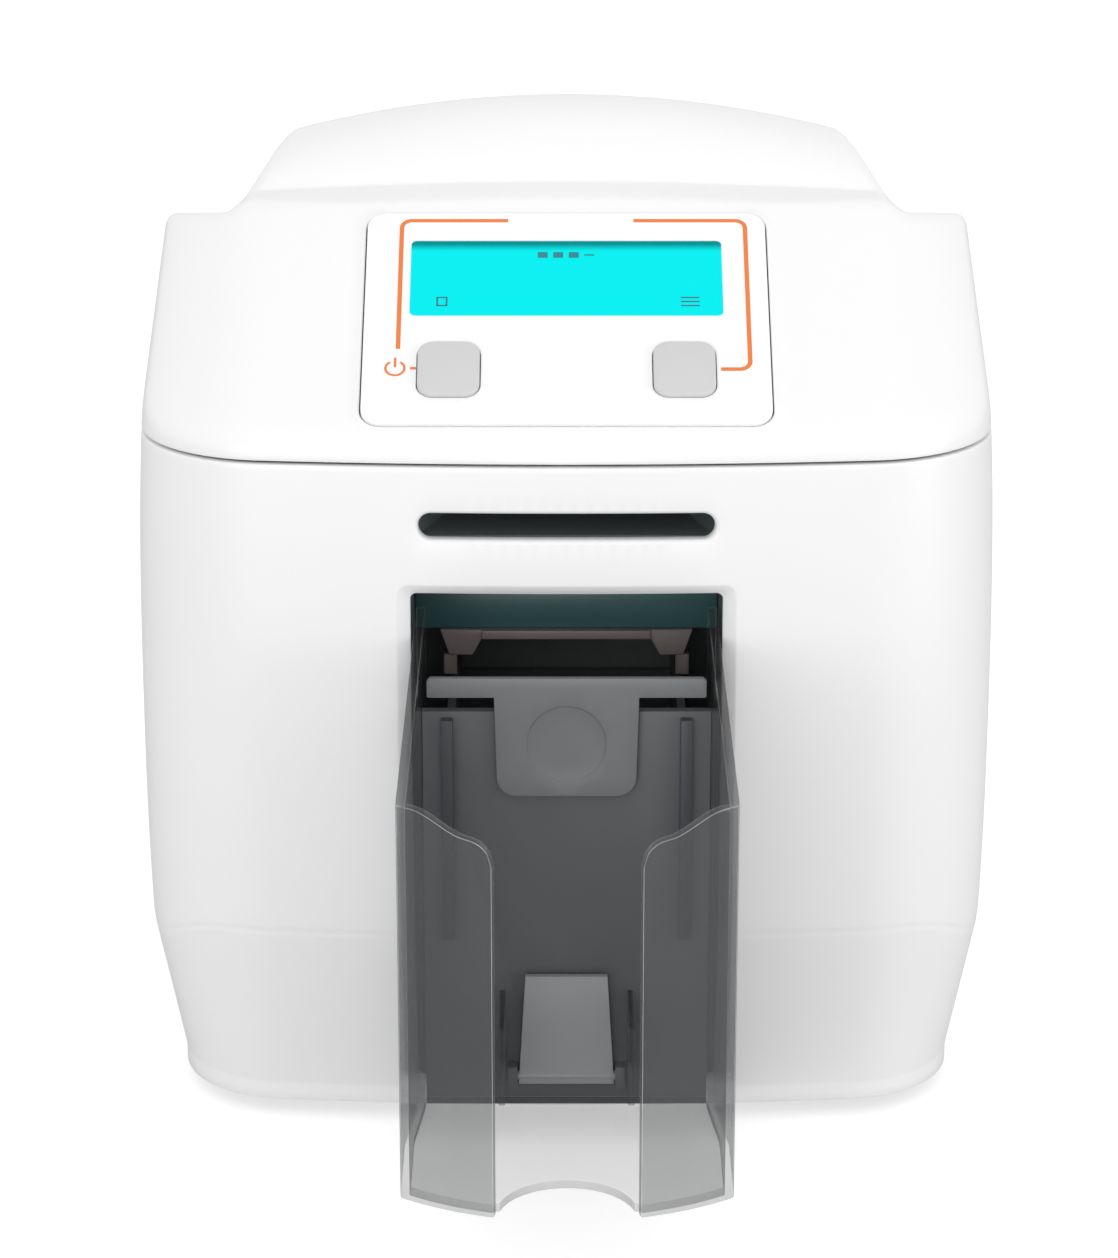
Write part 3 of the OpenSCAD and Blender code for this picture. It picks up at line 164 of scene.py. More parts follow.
finishes = {
    # moulded in a spark-eroded tool, so the white has a soft, broad sheen
    "casing": finish("mouldedWhiteAbs", "F4F4F5", 0.34, grain=0.5, relief=0.006, tint=0.012),
    # the same resin from a finer tool: a little glossier
    "lid": finish("polishedWhiteAbs", "F5F5F6", 0.30, grain=0.5, relief=0.005, tint=0.012),
    # printed film over the panel: satin, and whiter than the casing
    "panel": finish("whitePolycarbonateFilm", "FAFAFB", 0.38, grain=0.4, relief=0.004, tint=0.01),
    # moulded and left soft to the touch: dull light grey
    "button": finish("greyKeyPlastic", "CFCFD0", 0.48, grain=0.35, relief=0.008, tint=0.02),
    # moulded dark grey: a dim sheen that shows the light's shape weakly
    "feeder": finish("graphiteAbs", "5E6062", 0.42, grain=0.6, relief=0.012, tint=0.05),
    # the same, a lighter batch, so the cover stands out from the wall
    "cover": finish("midGreyAbs", "7C7E80", 0.42, grain=0.6, relief=0.012, tint=0.04),
    # dark grey ABS with a coarse texture for inner guides
    "dark": finish("charcoalAbs", "74787A", 0.5, grain=0.9, relief=0.02, tint=0.08),
    # sprayed sheet steel: even and dark with a slight orange peel
    "tray": finish("darkPaintedSteel", "43474B", 0.45, grain=1.2, relief=0.02, tint=0.06),
    # moulded teal acetal: waxy, with soft highlights
    "chute": finish("tealAcetal", "3F6668", 0.36, grain=0.8, relief=0.01, tint=0.08),
    # moulded natural acetal that is greyed: waxy and warm
    "gate": finish("warmGreyAcetal", "8E8482", 0.4, grain=0.8, relief=0.01, tint=0.05),
    # ground rubber sleeves: matt black that drinks the light
    "rubber": finish("nitrileRubber", "2A2A2B", 0.75, grain=0.9, relief=0.04, tint=0.12),
    # moulded feet: matt, with a dusty grain
    "foot": finish("footRubber", "303133", 0.8, grain=1.0, relief=0.04, tint=0.1),
    # cast sticky roller: wet-looking blue
    "tacky": finish("blueTackyRubber", "3F78BE", 0.3, grain=1.5, relief=0.01, tint=0.08),
    # zinc-plated sheet steel, rolled: cool grey with a faint drift of gloss
    "steel": finish("zincPlatedSteel", "B4B8BC", 0.34, spread=0.1, grain=1.6, relief=0.006, drift=18,
        tint=0.1, Metallic=1.0),
    # turned on a lathe: bright, with narrow highlights
    "bright": finish("turnedSteel", "CACDD0", 0.22, spread=0.06, grain=0.5, relief=0.003, tint=0.05,
        Metallic=1.0),
    # milled: pale and even, less bright than the turned steel
    "aluminium": finish("milledAluminium", "C3C5C8", 0.3, spread=0.08, grain=0.6, relief=0.008, tint=0.05,
        Metallic=1.0),
    # pressed and sintered: speckled brown gold
    "bronze": finish("sinteredBronze", "B08A4C", 0.38, spread=0.08, grain=0.4, relief=0.02, tint=0.15,
        Metallic=1.0),
    # glazed strip of the print head: smooth cream
    "ceramic": finish("printHeadCeramic", "D8D2BE", 0.25, grain=0.6, relief=0.004, tint=0.05),
    # phosphated cans: dark grey metal with a dull shine
    "motor": finish("phosphatedSteel", "5C6063", 0.4, grain=0.9, relief=0.01, tint=0.08, Metallic=0.6),
    # screened solder resist over copper: uneven glossy green
    "board": finish("greenSolderResist", "1D5B38", 0.3, spread=0.08, grain=2.2, relief=0.02, tint=0.25),
    # moulded epoxy: flat black
    "chip": finish("epoxyPackage", "25272A", 0.55, grain=0.5, relief=0.01, tint=0.1),
    # nickel over pressed powder: dark, soft mirror
    "magnet": finish("nickelledMagnet", "4C4E52", 0.35, grain=0.8, relief=0.01, tint=0.1, Metallic=0.8),
    # moulded blue cores: plain sheen
    "spool": finish("blueSpoolPlastic", "3C4070", 0.4, grain=0.7, relief=0.01, tint=0.08),
    # moulded grey acetal: waxy mid grey
    "lift": finish("liftGreyAcetal", "87898C", 0.45, grain=0.7, relief=0.012, tint=0.05),
    # stretched polyester with dye on it: thin, dark and glossy
    "film": finish("dyeFilm", "34346A", 0.15, grain=3.0, relief=0.01, tint=0.2, Coat_Weight=0.5),
    # cast belt: matt black with a coarse back
    "belt": finish("beltRubber", "1D1D1E", 0.7, grain=1.0, relief=0.05, tint=0.1),
    # moulded from the same powder, the tongue pale and the slot's lining dark
    "tongue": finish("smokeGreyAbs", "9A9C9E", 0.4, grain=0.6, relief=0.01, tint=0.05),
    "slotInside": finish("slotLiningAbs", "5A6264", 0.4, grain=0.7, relief=0.01, tint=0.06),
    # printed ink: flat teal signs, and flat orange lines
    "icon": finish("displayInk", "0A7F86", 0.5, grain=0.3, relief=0.003, tint=0.03),
    "ink": finish("orangeScreenInk", "EB7D32", 0.5, grain=0.3, relief=0.004, tint=0.04),
}
print("finishes:", len(finishes))

smoothLimit = 40  # degrees; edges sharper than this stay sharp on rounded pieces
shellAngle = 32  # the same limit for the two casings
bevelLimit = 28  # degrees; edges sharper than this are rounded
weld = 0.003  # millimetres; points of the casings that are closer than this become one


def placed(name, mesh):
    piece = bpy.data.objects.new(name, mesh)
    bpy.context.scene.collection.objects.link(piece)
    return piece


def meshOf(name, verts, faces):  # verts in millimetres
    mesh = bpy.data.meshes.new(name)
    mesh.from_pydata([tuple(c * mm for c in v) for v in verts], [], [tuple(f) for f in faces])
    return mesh


def worked(rough):  # the mesh that the modifiers give; the rough object goes
    bpy.context.view_layer.update()
    done = bpy.data.meshes.new_from_object(rough.evaluated_get(bpy.context.evaluated_depsgraph_get()))
    bpy.data.objects.remove(rough)
    return done


def cleaned(mesh, merge=0.0, flatten=False, turn=True, smooth=False):  # merge in millimetres
    work = bmesh.new()
    work.from_mesh(mesh)
    if merge:
        bmesh.ops.remove_doubles(work, verts=work.verts, dist=merge * mm)
    if flatten:
        bmesh.ops.dissolve_limit(work, angle_limit=math.radians(1.0), verts=work.verts, edges=work.edges)
    if turn:
        bmesh.ops.recalc_face_normals(work, faces=work.faces)
    for face in work.faces if smooth else ():
        face.smooth = True
    work.to_mesh(mesh)
    work.free()
    return mesh


def makePiece(name, verts, faces, key, body, replaced=(), angle=30, merge=0.0):
    return dress(placed(name, meshOf(name, verts, faces)), key, body, replaced, angle, merge)


def dress(piece, key, body, replaced=(), angle=30, merge=0.0, turn=True):
    mesh = cleaned(piece.data, merge, turn=turn, smooth=True)
    mesh.set_sharp_from_angle(angle=math.radians(angle))
    mesh.materials.clear()
    mesh.materials.append(finishes[key])
    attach(piece, body)
    if replaced:
        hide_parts(*replaced)
    return piece


# The mesh with its edges rounded; an edge finish, where given, goes on the rounded strips
def rounded(mesh, name, width, key, body, replaced, segments, limit, edgeKey=None):
    rough = placed(name + "Rough", mesh)
    bevel = rough.modifiers.new("edges", "BEVEL")
    bevel.width = width * mm
    bevel.segments = segments
    bevel.limit_method = "ANGLE"
    bevel.angle_limit = math.radians(limit)
    if edgeKey:
        mesh.materials.append(finishes[key])
        mesh.materials.append(finishes[edgeKey])
        bevel.material = 1
    done = worked(rough)
    marks = [p.material_index for p in done.polygons]
    piece = dress(placed(name, done), key, body, replaced, smoothLimit, turn=False)
    if edgeKey:
        done.materials.append(finishes[edgeKey])
        done.polygons.foreach_set("material_index", marks)
    return piece


def softened(node, name, width, key, body, segments=2):  # a rounded copy of a frame node
    mesh = cleaned(frameNodes[node].data.copy(), 0.004, flatten=True, turn=False)
    return rounded(mesh, name, width, key, body, (node,), segments, bevelLimit)


def smoothMax(a, b, k):
    k = np.maximum(k, 1e-6)
    h = np.maximum(k - np.abs(a - b), 0) / k
    return np.maximum(a, b) + h * h * k / 4


def smoothMin(a, b, k):
    return -smoothMax(-a, -b, k)


def smoothStep(low, high, value):
    t = np.clip((value - low) / (high - low), 0, 1)
    return t * t * (3 - 2 * t)


# The casing's plan outline, walked by length from the front's middle: a bow, a round corner,
# a straight side, a back corner and a flat back, the same on both hands
plan = {"halfW": 111.0, "frontR": 38.0, "backR": 22.0, "bowR": 800.0, "depth": 345.0}
plan["cornerX"] = plan["halfW"] - plan["frontR"]
plan["cornerU"] = plan["bowR"] - math.sqrt((plan["bowR"] - plan["frontR"]) ** 2 - plan["cornerX"] ** 2)
plan["bowA"] = math.asin(plan["cornerX"] / (plan["bowR"] - plan["frontR"]))
runs = np.array([
    plan["bowR"] * plan["bowA"],
    plan["frontR"] * (math.pi / 2 - plan["bowA"]),
    plan["depth"] - plan["backR"] - plan["cornerU"],
    plan["backR"] * math.pi / 2,
    plan["halfW"] - plan["backR"],
])
ends = np.cumsum(runs)
halfRound = ends[-1]


def outlineAt(s):  # plan point, outward normal and share of the back at length s
    s = np.mod(np.asarray(s, float) + halfRound, 2 * halfRound) - halfRound
    hand = np.where(s < 0, -1.0, 1.0)
    s = np.abs(s)
    a = s / plan["bowR"]
    b = plan["bowA"] - math.pi / 2 + (s - ends[0]) / plan["frontR"]
    c = (s - ends[2]) / plan["backR"]
    part = np.searchsorted(ends[:-1], s)
    x = np.choose(part, [plan["bowR"] * np.sin(a), plan["cornerX"] + plan["frontR"] * np.cos(b),
        plan["halfW"] + 0 * s,
        plan["halfW"] - plan["backR"] + plan["backR"] * np.cos(c), halfRound - s])
    u = np.choose(part, [plan["bowR"] * (1 - np.cos(a)), plan["cornerU"] + plan["frontR"] * np.sin(b),
        plan["cornerU"] + s - ends[1],
        plan["depth"] - plan["backR"] + plan["backR"] * np.sin(c), plan["depth"] + 0 * s])
    nx = np.choose(part, [np.sin(a), np.cos(b), 1 + 0 * s, np.cos(c), 0 * s])
    nu = np.choose(part, [-np.cos(a), np.sin(b), 0 * s, np.sin(c), 1 + 0 * s])
    w = np.choose(part, [0 * s, 0 * s, (s - ends[1]) / runs[2], 1 + 0 * s, 1 + 0 * s])
    return hand * x, u, hand * nx, nu, w


hinge = {"u": 335.0, "z": 158.0, "lidR": 10.0, "bodyR": 11.4}
seam = {"z": 181.0, "flatU": 60.0, "half": 0.4, "round": 0.4}


def seamZ(u):
    return np.interp(u, [seam["flatU"], hinge["u"]], [seam["z"], hinge["z"]])


def hingeLow(u, r):  # underside of a disc of radius r about the hinge, or the seam
    inside = np.maximum(r * r - (u - hinge["u"]) ** 2, 0)
    return np.where(inside > 0, hinge["z"] - np.sqrt(inside), np.inf)


# Inset of the section by height: a lower band that leans in under a rounded crease, then a
# tall flank that is widest at 95 mm and closes gently to the seam and on through the lid
section = {
    "lipZ": 9.0, "lipInset": 8.5, "creaseFront": 55.4, "creaseSide": 47.0, "creaseRound": 0.5, "wide": 95.0,
    "lineDeep": 0.16, "lineHalf": 0.7, "turnFrom": 0.35, "turnTo": 0.97,
    "lowLean": 0.8, "lowRun": 45, "highLean": 1.8, "highRun": 86, "lidLean": 0.0628,
    "creaseRow": 50, "movedRows": [15, 44, 56, 90],
}


def flank(z):
    low = section["lowLean"] * (np.clip(section["wide"] - z, 0, None) / section["lowRun"]) ** 2
    climb = np.clip(np.minimum(z, seam["z"]) - section["wide"], 0, None) / section["highRun"]
    return low + section["highLean"] * climb ** 3 + section["lidLean"] * np.clip(z - seam["z"], 0, None)


def creaseAt(nu):
    front = smoothStep(section["turnFrom"], section["turnTo"], -nu)
    return section["creaseSide"] + (section["creaseFront"] - section["creaseSide"]) * front


def bodyInset(z, crease):
    edge = flank(crease)
    band = edge + (section["lipInset"] - edge) * (crease - z) / (crease - section["lipZ"])
    line = section["lineDeep"] * np.clip(1 - np.abs(z - crease) / section["lineHalf"], 0, 1)
    return np.minimum(smoothMax(band, flank(z), section["creaseRound"]), section["lipInset"]) + line


def bodyPoint(s, v, t=0.0):
    x, u, nx, nu, w = outlineAt(s)
    crease = creaseAt(nu)
    z = v + (crease - section["creaseRow"]) * np.interp(v, section["movedRows"], [0, 1, 1, 0])
    top = np.minimum(seamZ(u - t * nu) - seam["half"], hingeLow(u - t * nu, hinge["bodyR"])) - seam["round"]
    wide = section["wide"]
    z = np.where(v > wide, wide + (v - wide) * (top - wide) / (seam["z"] - seam["half"] - seam["round"] - wide), z)
    lean = bodyInset(z, crease)
    inset = lean + t
    return np.stack([x - inset * nx, frontY + u - inset * nu + lean * w, z], -1)


def roundLoop(cx, cz, halfW, halfH, r, steps=6):
    loop = []
    for qx, qz, start in ((1, 1, 0), (-1, 1, 90), (-1, -1, 180), (1, -1, 270)):
        for i in range(steps + 1):
            a = math.radians(start + 90 * i / steps)
            loop.append((cx + qx * (halfW - r) + r * math.cos(a), cz + qz * (halfH - r) + r * math.sin(a)))
    return loop


def denser(loop, step):
    full = []
    for p, q in zip(loop, loop[1:] + loop[:1]):
        n = max(1, round(math.dist(p, q) / step))
        full += [(p[0] + (q[0] - p[0]) * i / n, p[1] + (q[1] - p[1]) * i / n) for i in range(n)]
    return full


def insideLoop(points, loop):
    inside = np.zeros(len(points), bool)
    x, y = points[:, 0], points[:, 1]
    for (x0, y0), (x1, y1) in zip(loop, loop[1:] + loop[:1]):
        if y0 != y1:
            inside ^= ((y0 > y) != (y1 > y)) & (x < (x1 - x0) * (y - y0) / (y1 - y0) + x0)
    return inside


# Triangles over a set of flat points, left open at each hole; the holes' points come first
def flatMesh(points, holes, clear, border=None):
    loops = [h for h in holes] + ([border] if border else [])
    keep = np.ones(len(points), bool)
    for loop in loops:
        ring = np.array(loop)
        near = np.array([np.min(np.hypot(*(ring - p).T)) for p in points]) < clear
        keep &= ~near
        keep &= ~insideLoop(points, loop) if loop in holes else insideLoop(points, loop)
    flat, edges = [], []
    for loop in loops:
        base = len(flat)
        flat += loop
        edges += [(base + i, base + (i + 1) % len(loop)) for i in range(len(loop))]
    flat = flat + [tuple(p) for p in points[keep]]
    result = delaunay_2d_cdt([Vector(p) for p in flat], edges, [], 0, 1e-6)
    place = np.array([tuple(p) for p in result[0]])
    faces = np.array([tuple(f) for f in result[2]])
    middle = place[faces].mean(1)
    good = np.ones(len(faces), bool)
    for loop in holes:
        good &= ~insideLoop(middle, loop)
    if border:
        good &= insideLoop(middle, border)
    where = {}
    for i, sources in enumerate(result[3]):
        for source in sources:
            where[source] = i
            place[i] = flat[source]
    rings, base = [], 0
    for loop in loops:
        rings.append([where[base + i] for i in range(len(loop))])
        base += len(loop)
    return place, faces[good], rings


def gridPoints(columns, rows):
    s, v = np.meshgrid(columns, rows)
    return np.stack([s.ravel(), v.ravel()], -1)


def indexRows(verts, rings):  # each ring as indices; a ring of new points is appended first
    rows = []
    for ring in rings:
        if not isinstance(ring, list):
            verts.extend(map(tuple, ring))
            ring = list(range(len(verts) - len(ring), len(verts)))
        rows.append(ring)
    return rows


def strips(verts, faces, rings):  # walls between rings of equal length, appended in place
    rows = indexRows(verts, rings)
    for low, high in zip(rows, rows[1:]):
        n = len(low)
        faces.extend((low[i], low[(i + 1) % n], high[(i + 1) % n], high[i]) for i in range(n))


# Columns of a sheet that goes all round: how many on each stretch of the outline. Its two ends meet at
# the back, clear of the rear opening
sheetJoin = 250.0


def columnsRound(bow, corner, side, backCorner, back):
    marks = [0.0] + list(ends)
    right = []
    for i, n in enumerate((bow, corner, side, backCorner, back)):
        right += list(np.linspace(marks[i], marks[i + 1], n + 1)[:-1])
    right.append(halfRound)
    full = sorted(set(np.round(right + [2 * halfRound - c for c in right], 6)))
    cut = 2 * halfRound - sheetJoin
    ahead = [c for c in full if c < cut] + [cut]
    behind = [c - 2 * halfRound for c in full if c > cut] + [cut - 2 * halfRound]
    return np.array(sorted(ahead + behind))


print("helpers")

# Smoked clear acrylic: moulded hopper walls, darker where two walls or an edge are seen through
smoked, tree, shader = newMaterial("smokedAcrylic")
place = addNode(tree, "TexCoord").outputs["Object"]
haze = addNode(tree, "TexNoise", {"Scale": 1000 / 30, "Detail": 2.0}, {"Vector": place})
gloss = addNode(tree, "MapRange", {"To Min": 0.05, "To Max": 0.12}, {"Value": haze.outputs["Fac"]})
edge = addNode(tree, "LayerWeight", {"Blend": 0.35})
solid = addNode(tree, "MapRange", {"To Min": 0.25, "To Max": 0.7}, {"Value": edge.outputs["Facing"]})
ripple = addNode(tree, "Bump", {"Strength": 0.02, "Distance": 0.05 * mm}, {"Height": haze.outputs["Fac"]})
tree.links.new(gloss.outputs["Result"], shader.inputs["Roughness"])
# the level shelf lets more light through than the walls
normal = addNode(tree, "NewGeometry").outputs["Normal"]
lie = addNode(tree, "SeparateXYZ", None, {"Vector": normal}).outputs["Z"]
flat = addNode(tree, "Math", {"operation": "ABSOLUTE"}, {0: lie})
thin = addNode(tree, "MapRange", {"From Min": 0.8, "From Max": 0.95, "To Min": 1.0, "To Max": 0.28},
    {"Value": flat.outputs[0]})
clear = addNode(tree, "Math", {"operation": "MULTIPLY"},
    {0: solid.outputs["Result"], 1: thin.outputs["Result"]})
tree.links.new(clear.outputs[0], shader.inputs["Alpha"])
tree.links.new(ripple.outputs["Normal"], shader.inputs["Normal"])
shader.inputs["Base Color"].default_value = linear("606264")
finishes["smoked"] = smoked

# The same acrylic's rounded edges, painted near-white and nearly opaque: a painted highlight standing for the light
# that the polished edges gather
paintedEdgeHighlight = smoked.copy()
paintedEdgeHighlight.name = "acrylicEdgePaintedHighlight"
shader = paintedEdgeHighlight.node_tree.nodes["Principled BSDF"]
shader.inputs["Base Color"].default_value = linear("F2F4F4")
paintedEdgeHighlight.node_tree.nodes["Map Range.001"].inputs["To Min"].default_value = 0.85
paintedEdgeHighlight.node_tree.nodes["Map Range.001"].inputs["To Max"].default_value = 0.95
finishes["edge"] = paintedEdgeHighlight

# Lit display behind clear film: cyan, with a darker strip along its top edge
cyanWindow, tree, shader = newMaterial("litDisplayFilm")
place = addNode(tree, "TexCoord").outputs["Object"]
height = addNode(tree, "SeparateXYZ", None, {"Vector": place}).outputs["Z"]
grain = addNode(tree, "TexNoise", {"Scale": 1000 / 1.2, "Detail": 1.0}, {"Vector": place})
shade = addNode(tree, "MapRange", {"From Min": 0.2225, "From Max": 0.2238, "To Min": 1.0, "To Max": 0.32},
    {"Value": height})
glow = addNode(tree, "Math", {"operation": "MULTIPLY", 1: 0.92}, {0: shade.outputs["Result"]})
tree.links.new(glow.outputs[0], shader.inputs["Emission Strength"])
soft = addNode(tree, "MapRange", {"To Min": 0.12, "To Max": 0.2}, {"Value": grain.outputs["Fac"]})
tree.links.new(soft.outputs["Result"], shader.inputs["Roughness"])
shader.inputs["Base Color"].default_value = linear("00262A")
shader.inputs["Specular IOR Level"].default_value = 0.03
shader.inputs["Emission Color"].default_value = linear("00F6F9")
finishes["cyan"] = cyanWindow


# Body casing
bodySizes = {
    "wall": 3.0,
    # the mesh's columns on each stretch of the outline, and its space round an opening
    "columns": (20, 28, 26, 44, 22), "clear": 0.9,
    # heights of the mesh's rows, close together at the lip, the crease and the seam
    "rows": [4.5, 6.8, 8.7, 9.0, 9.4, 12, 18, 25, 32, 39, 44, 47, 48.4, 49.3, 50, 50.7, 51.6, 53, 57, 64, 72,
        80, 88, 95, 104, 113, 122, 131, 140, 149, 156, 161, 165.5, 170, 174, 177, 179, 180.2],
    # each opening: middle, half width, half height and corner, outside and inside its bevel
    "mouth": (0, 80.5, 43.0, 70.0, 3.2), "mouthIn": (0, 79.6, 39.4, 67.9, 1.6),
    "slot": (0, 165.4, 38.3, 4.3, 4.2), "slotIn": (0, 165.4, 37.2, 3.3, 3.2),
    "rear": (halfRound, 64.0, 62.6, 48.6, 2.6), "rearIn": (halfRound, 64.0, 62.0, 48.0, 2.0),
    # each opening's points: steps round a corner, and spacing in millimetres
    "loops": (("mouth", 6, 5), ("slot", 8, 4), ("rear", 6, 6)),
    # each bevel: share of the way inwards and depth from the face
    "mouthRim": [(0.06, 0.02), (0.16, 0.12), (0.9, 1.9), (0.98, 2.2), (1.0, 3.0)],
    "slotRim": [(0.2, 0.05), (0.6, 0.3), (0.9, 0.8), (1.0, 1.4), (1.0, 3.0)],
    "rearRim": [(0.3, 0.1), (0.8, 0.4), (1.0, 0.8), (1.0, 3.0)],
    # each rounded edge: depth into the wall and rise past the last row
    "seamRim": [(0.12, 0.28), (0.4, 0.4), (2.6, 0.4), (2.9, 0.28)],
    "footRim": [(0.15, -0.35), (0.5, -0.5), (2.7, -0.5)],
}


def shellSheets(point, columns, rows, holes, clear, stretch=1.0):
    flat, faces, rings = flatMesh(gridPoints(columns, [r * stretch for r in rows]), holes, clear)
    s, v = flat[:, 0], flat[:, 1] / stretch
    outer = point(s, v)
    return flat, outer, faces, rings, s, v


columns = columnsRound(*bodySizes["columns"])
holes = [denser(roundLoop(*bodySizes[hole], steps=steps), pitch) for hole, steps, pitch in bodySizes["loops"]]
flat, outer, faces, rings, s, v = shellSheets(bodyPoint, columns, bodySizes["rows"], holes, bodySizes["clear"])
inner = bodyPoint(s, v, bodySizes["wall"])
count = len(outer)
verts = [tuple(p) for p in outer] + [tuple(p) for p in inner]
sheet = [tuple(f) for f in faces] + [tuple(count + i for i in reversed(f)) for f in faces]


def innerShare(p, outerRun, innerRun, shrink):  # one coordinate, on the straight run or round the corner
    if abs(p) > outerRun:
        return np.sign(p) * innerRun + (p - np.sign(p) * outerRun) * shrink
    return p * innerRun / outerRun


def innerLoop(outerShape, innerShape, loop):  # the inner loop's points, matched to the outer ones
    (cx, cz, w0, h0, r0), (dx, dz, w1, h1, r1) = outerShape, innerShape
    moved = []
    for x, z in loop:
        px, pz = x - cx, z - cz
        moved.append((dx + innerShare(px, w0 - r0, w1 - r1, r1 / r0), dz + innerShare(pz, h0 - r0, h1 - r1, r1 / r0)))
    return np.array(moved)


def rim(loop, shapes, ring, depths):  # a bevelled lip from the outer sheet through the wall
    start = np.array(loop)
    end = innerLoop(*shapes, loop)
    steps = [ring]
    for share, depth in depths:
        at = start + (end - start) * share
        steps.append(bodyPoint(at[:, 0], at[:, 1], depth))
    strips(verts, sheet, steps + [[count + i for i in ring]])


for (hole, _, _), loop, ring in zip(bodySizes["loops"], holes, rings):
    rim(loop, (bodySizes[hole], bodySizes[hole + "In"]), ring, bodySizes[hole + "Rim"])


def edgeRing(point, row, column, t, drop):
    ring = point(column, np.full(len(column), row), t)
    ring[:, 2] += drop
    return ring


def indexRow(flat, row, base=0):
    found = [i for i in range(len(flat)) if abs(flat[i, 1] - row) < 1e-4]
    return [base + i for i in sorted(found, key=lambda i: flat[i, 0])]


def openStrips(verts, faces, rows):
    lists = indexRows(verts, rows)
    for low, high in zip(lists, lists[1:]):
        faces.extend((low[i], low[i + 1], high[i + 1], high[i]) for i in range(len(low) - 1))


for row, steps in ((bodySizes["rows"][-1], bodySizes["seamRim"]), (bodySizes["rows"][0], bodySizes["footRim"])):
    cols = flat[indexRow(flat, row)][:, 0]
    rounding = [edgeRing(bodyPoint, row, cols, depth, rise) for depth, rise in steps]
    openStrips(verts, sheet, [indexRow(flat, row)] + rounding + [indexRow(flat, row, count)])
bodyCasing = makePiece("bodyCasing", verts, sheet, "casing", "base", ("body_shell",),
    shellAngle, merge=weld)
print("bodyCasing", len(bodyCasing.data.polygons))

# Lid: the wall runs up from the seam, its front leans back as the panel's slope, and a filleted
# edge turns it into the roof, where a hump rises behind a narrow ledge
lidSizes = {
    "wall": 2.8, "slopeZ": 183.8, "slope": 0.6508, "crestU": 71.0, "crestZ": 230.0, "flatHalf": 59.5,
    "ledgeU": 76.0, "ledgeZ": 233.25, "ledgeSlope": 0.17, "ledgeRound": 0.7,
    "footU": 86.0, "footZ": 234.95, "footSteep": 1.3, "footRound": 1.0, "topU": 116.0, "topZ": 252.0,
    "barrelZ": 168.0, "humpEase": 0.85, "backEase": 1.3, "archDrop": 0.285, "archHalf": 73.7,
    "humpHalf": 87.0, "flankSteep": 2, "flankRound": 6.0, "shoulderRound": 8.0, "crestRound": 5.0,
    "bowFade": (183.0, 190.0), "bowRound": 0.8, "frontTurn": -0.3, "crestGain": 2.658, "gainFade": (80.0, 92.0),
    "seamRim": [(0.28, 0.12), (0.4, 0.4), (0.4, 2.7)],
    "columns": (26, 30, 26, 44, 22), "clear": 0.8, "leastWall": 0.05, "searchFrom": 240.0, "searchSteps": 40,
    "fillet": 2.6, "panelFillet": 0.8, "backFillet": 10.0, "filletFade": (62.0, 86.0), "backFade": (0.3, 0.98),
    "rows": [0, 0.012, 0.03, 0.05, 0.075, 0.1, 0.125, 0.15, 0.18, 0.22, 0.27, 0.33, 0.4,
        0.48, 0.56, 0.64, 0.72, 0.8, 0.87, 0.93, 0.97, 1.0],
}
roofGrid = {  # where the roof's mesh has points: close together at the ledge, the hump's foot and its flanks
    "frontUs": [73, 74, 75, 75.6, 76.2, 77, 78.5, 80.5, 82.5, 84.2, 85.3, 86, 86.8, 87.8, 89, 90.5, 92, 94, 96,
        98.5, 101, 104, 107, 110, 113, 116, 119, 123],
    "backUs": (128, 330, 30), "clear": 1.2,
    "xs": [0, 8, 16, 24, 32, 40, 48, 55, 61, 66, 70, 73, 75.5, 77.5, 79, 80.5, 82, 83.5, 85, 86.5, 88, 89.5, 91,
        92.5, 94.5, 97.5, 101, 104.5],
}
bowDrop = plan["bowR"] - math.sqrt(plan["bowR"] ** 2 - lidSizes["flatHalf"] ** 2)


def shoulderZ(u):
    return np.interp(u, [lidSizes["crestU"], hinge["u"]], [lidSizes["crestZ"], lidSizes["barrelZ"]])


def crownZ(u):
    slope = lidSizes["crestZ"] + lidSizes["slope"] * (u - lidSizes["crestU"])
    ledge = lidSizes["ledgeZ"] + lidSizes["ledgeSlope"] * (u - lidSizes["ledgeU"])
    low = smoothMin(slope, ledge, lidSizes["ledgeRound"])
    t = np.clip((u - lidSizes["footU"]) / (lidSizes["topU"] - lidSizes["footU"]), 0, 1)
    climb = np.sin(math.pi / 2 * t ** lidSizes["humpEase"]) * (lidSizes["topZ"] - lidSizes["footZ"])
    rise = lidSizes["footZ"] + climb + np.minimum(u - lidSizes["footU"], 0) * lidSizes["footSteep"]
    front = smoothMax(low, rise, lidSizes["footRound"])
    t = np.clip((u - lidSizes["topU"]) / (hinge["u"] - lidSizes["topU"]), 0, 1)
    back = lidSizes["topZ"] - (lidSizes["topZ"] - lidSizes["barrelZ"]) * t ** lidSizes["backEase"]
    return np.where(u < lidSizes["topU"], np.minimum(front, lidSizes["topZ"]), back)


def roofZ(x, u):
    a = np.abs(x)
    rise = crownZ(u) - shoulderZ(u)
    arch = rise * (1 - lidSizes["archDrop"] * (a / lidSizes["archHalf"]) ** 2)
    hump = smoothMin(arch, lidSizes["flankSteep"] * (lidSizes["humpHalf"] - a), lidSizes["flankRound"])
    return shoulderZ(u) + smoothMax(hump, 0 * hump, np.clip(rise, 0.01, lidSizes["shoulderRound"]))


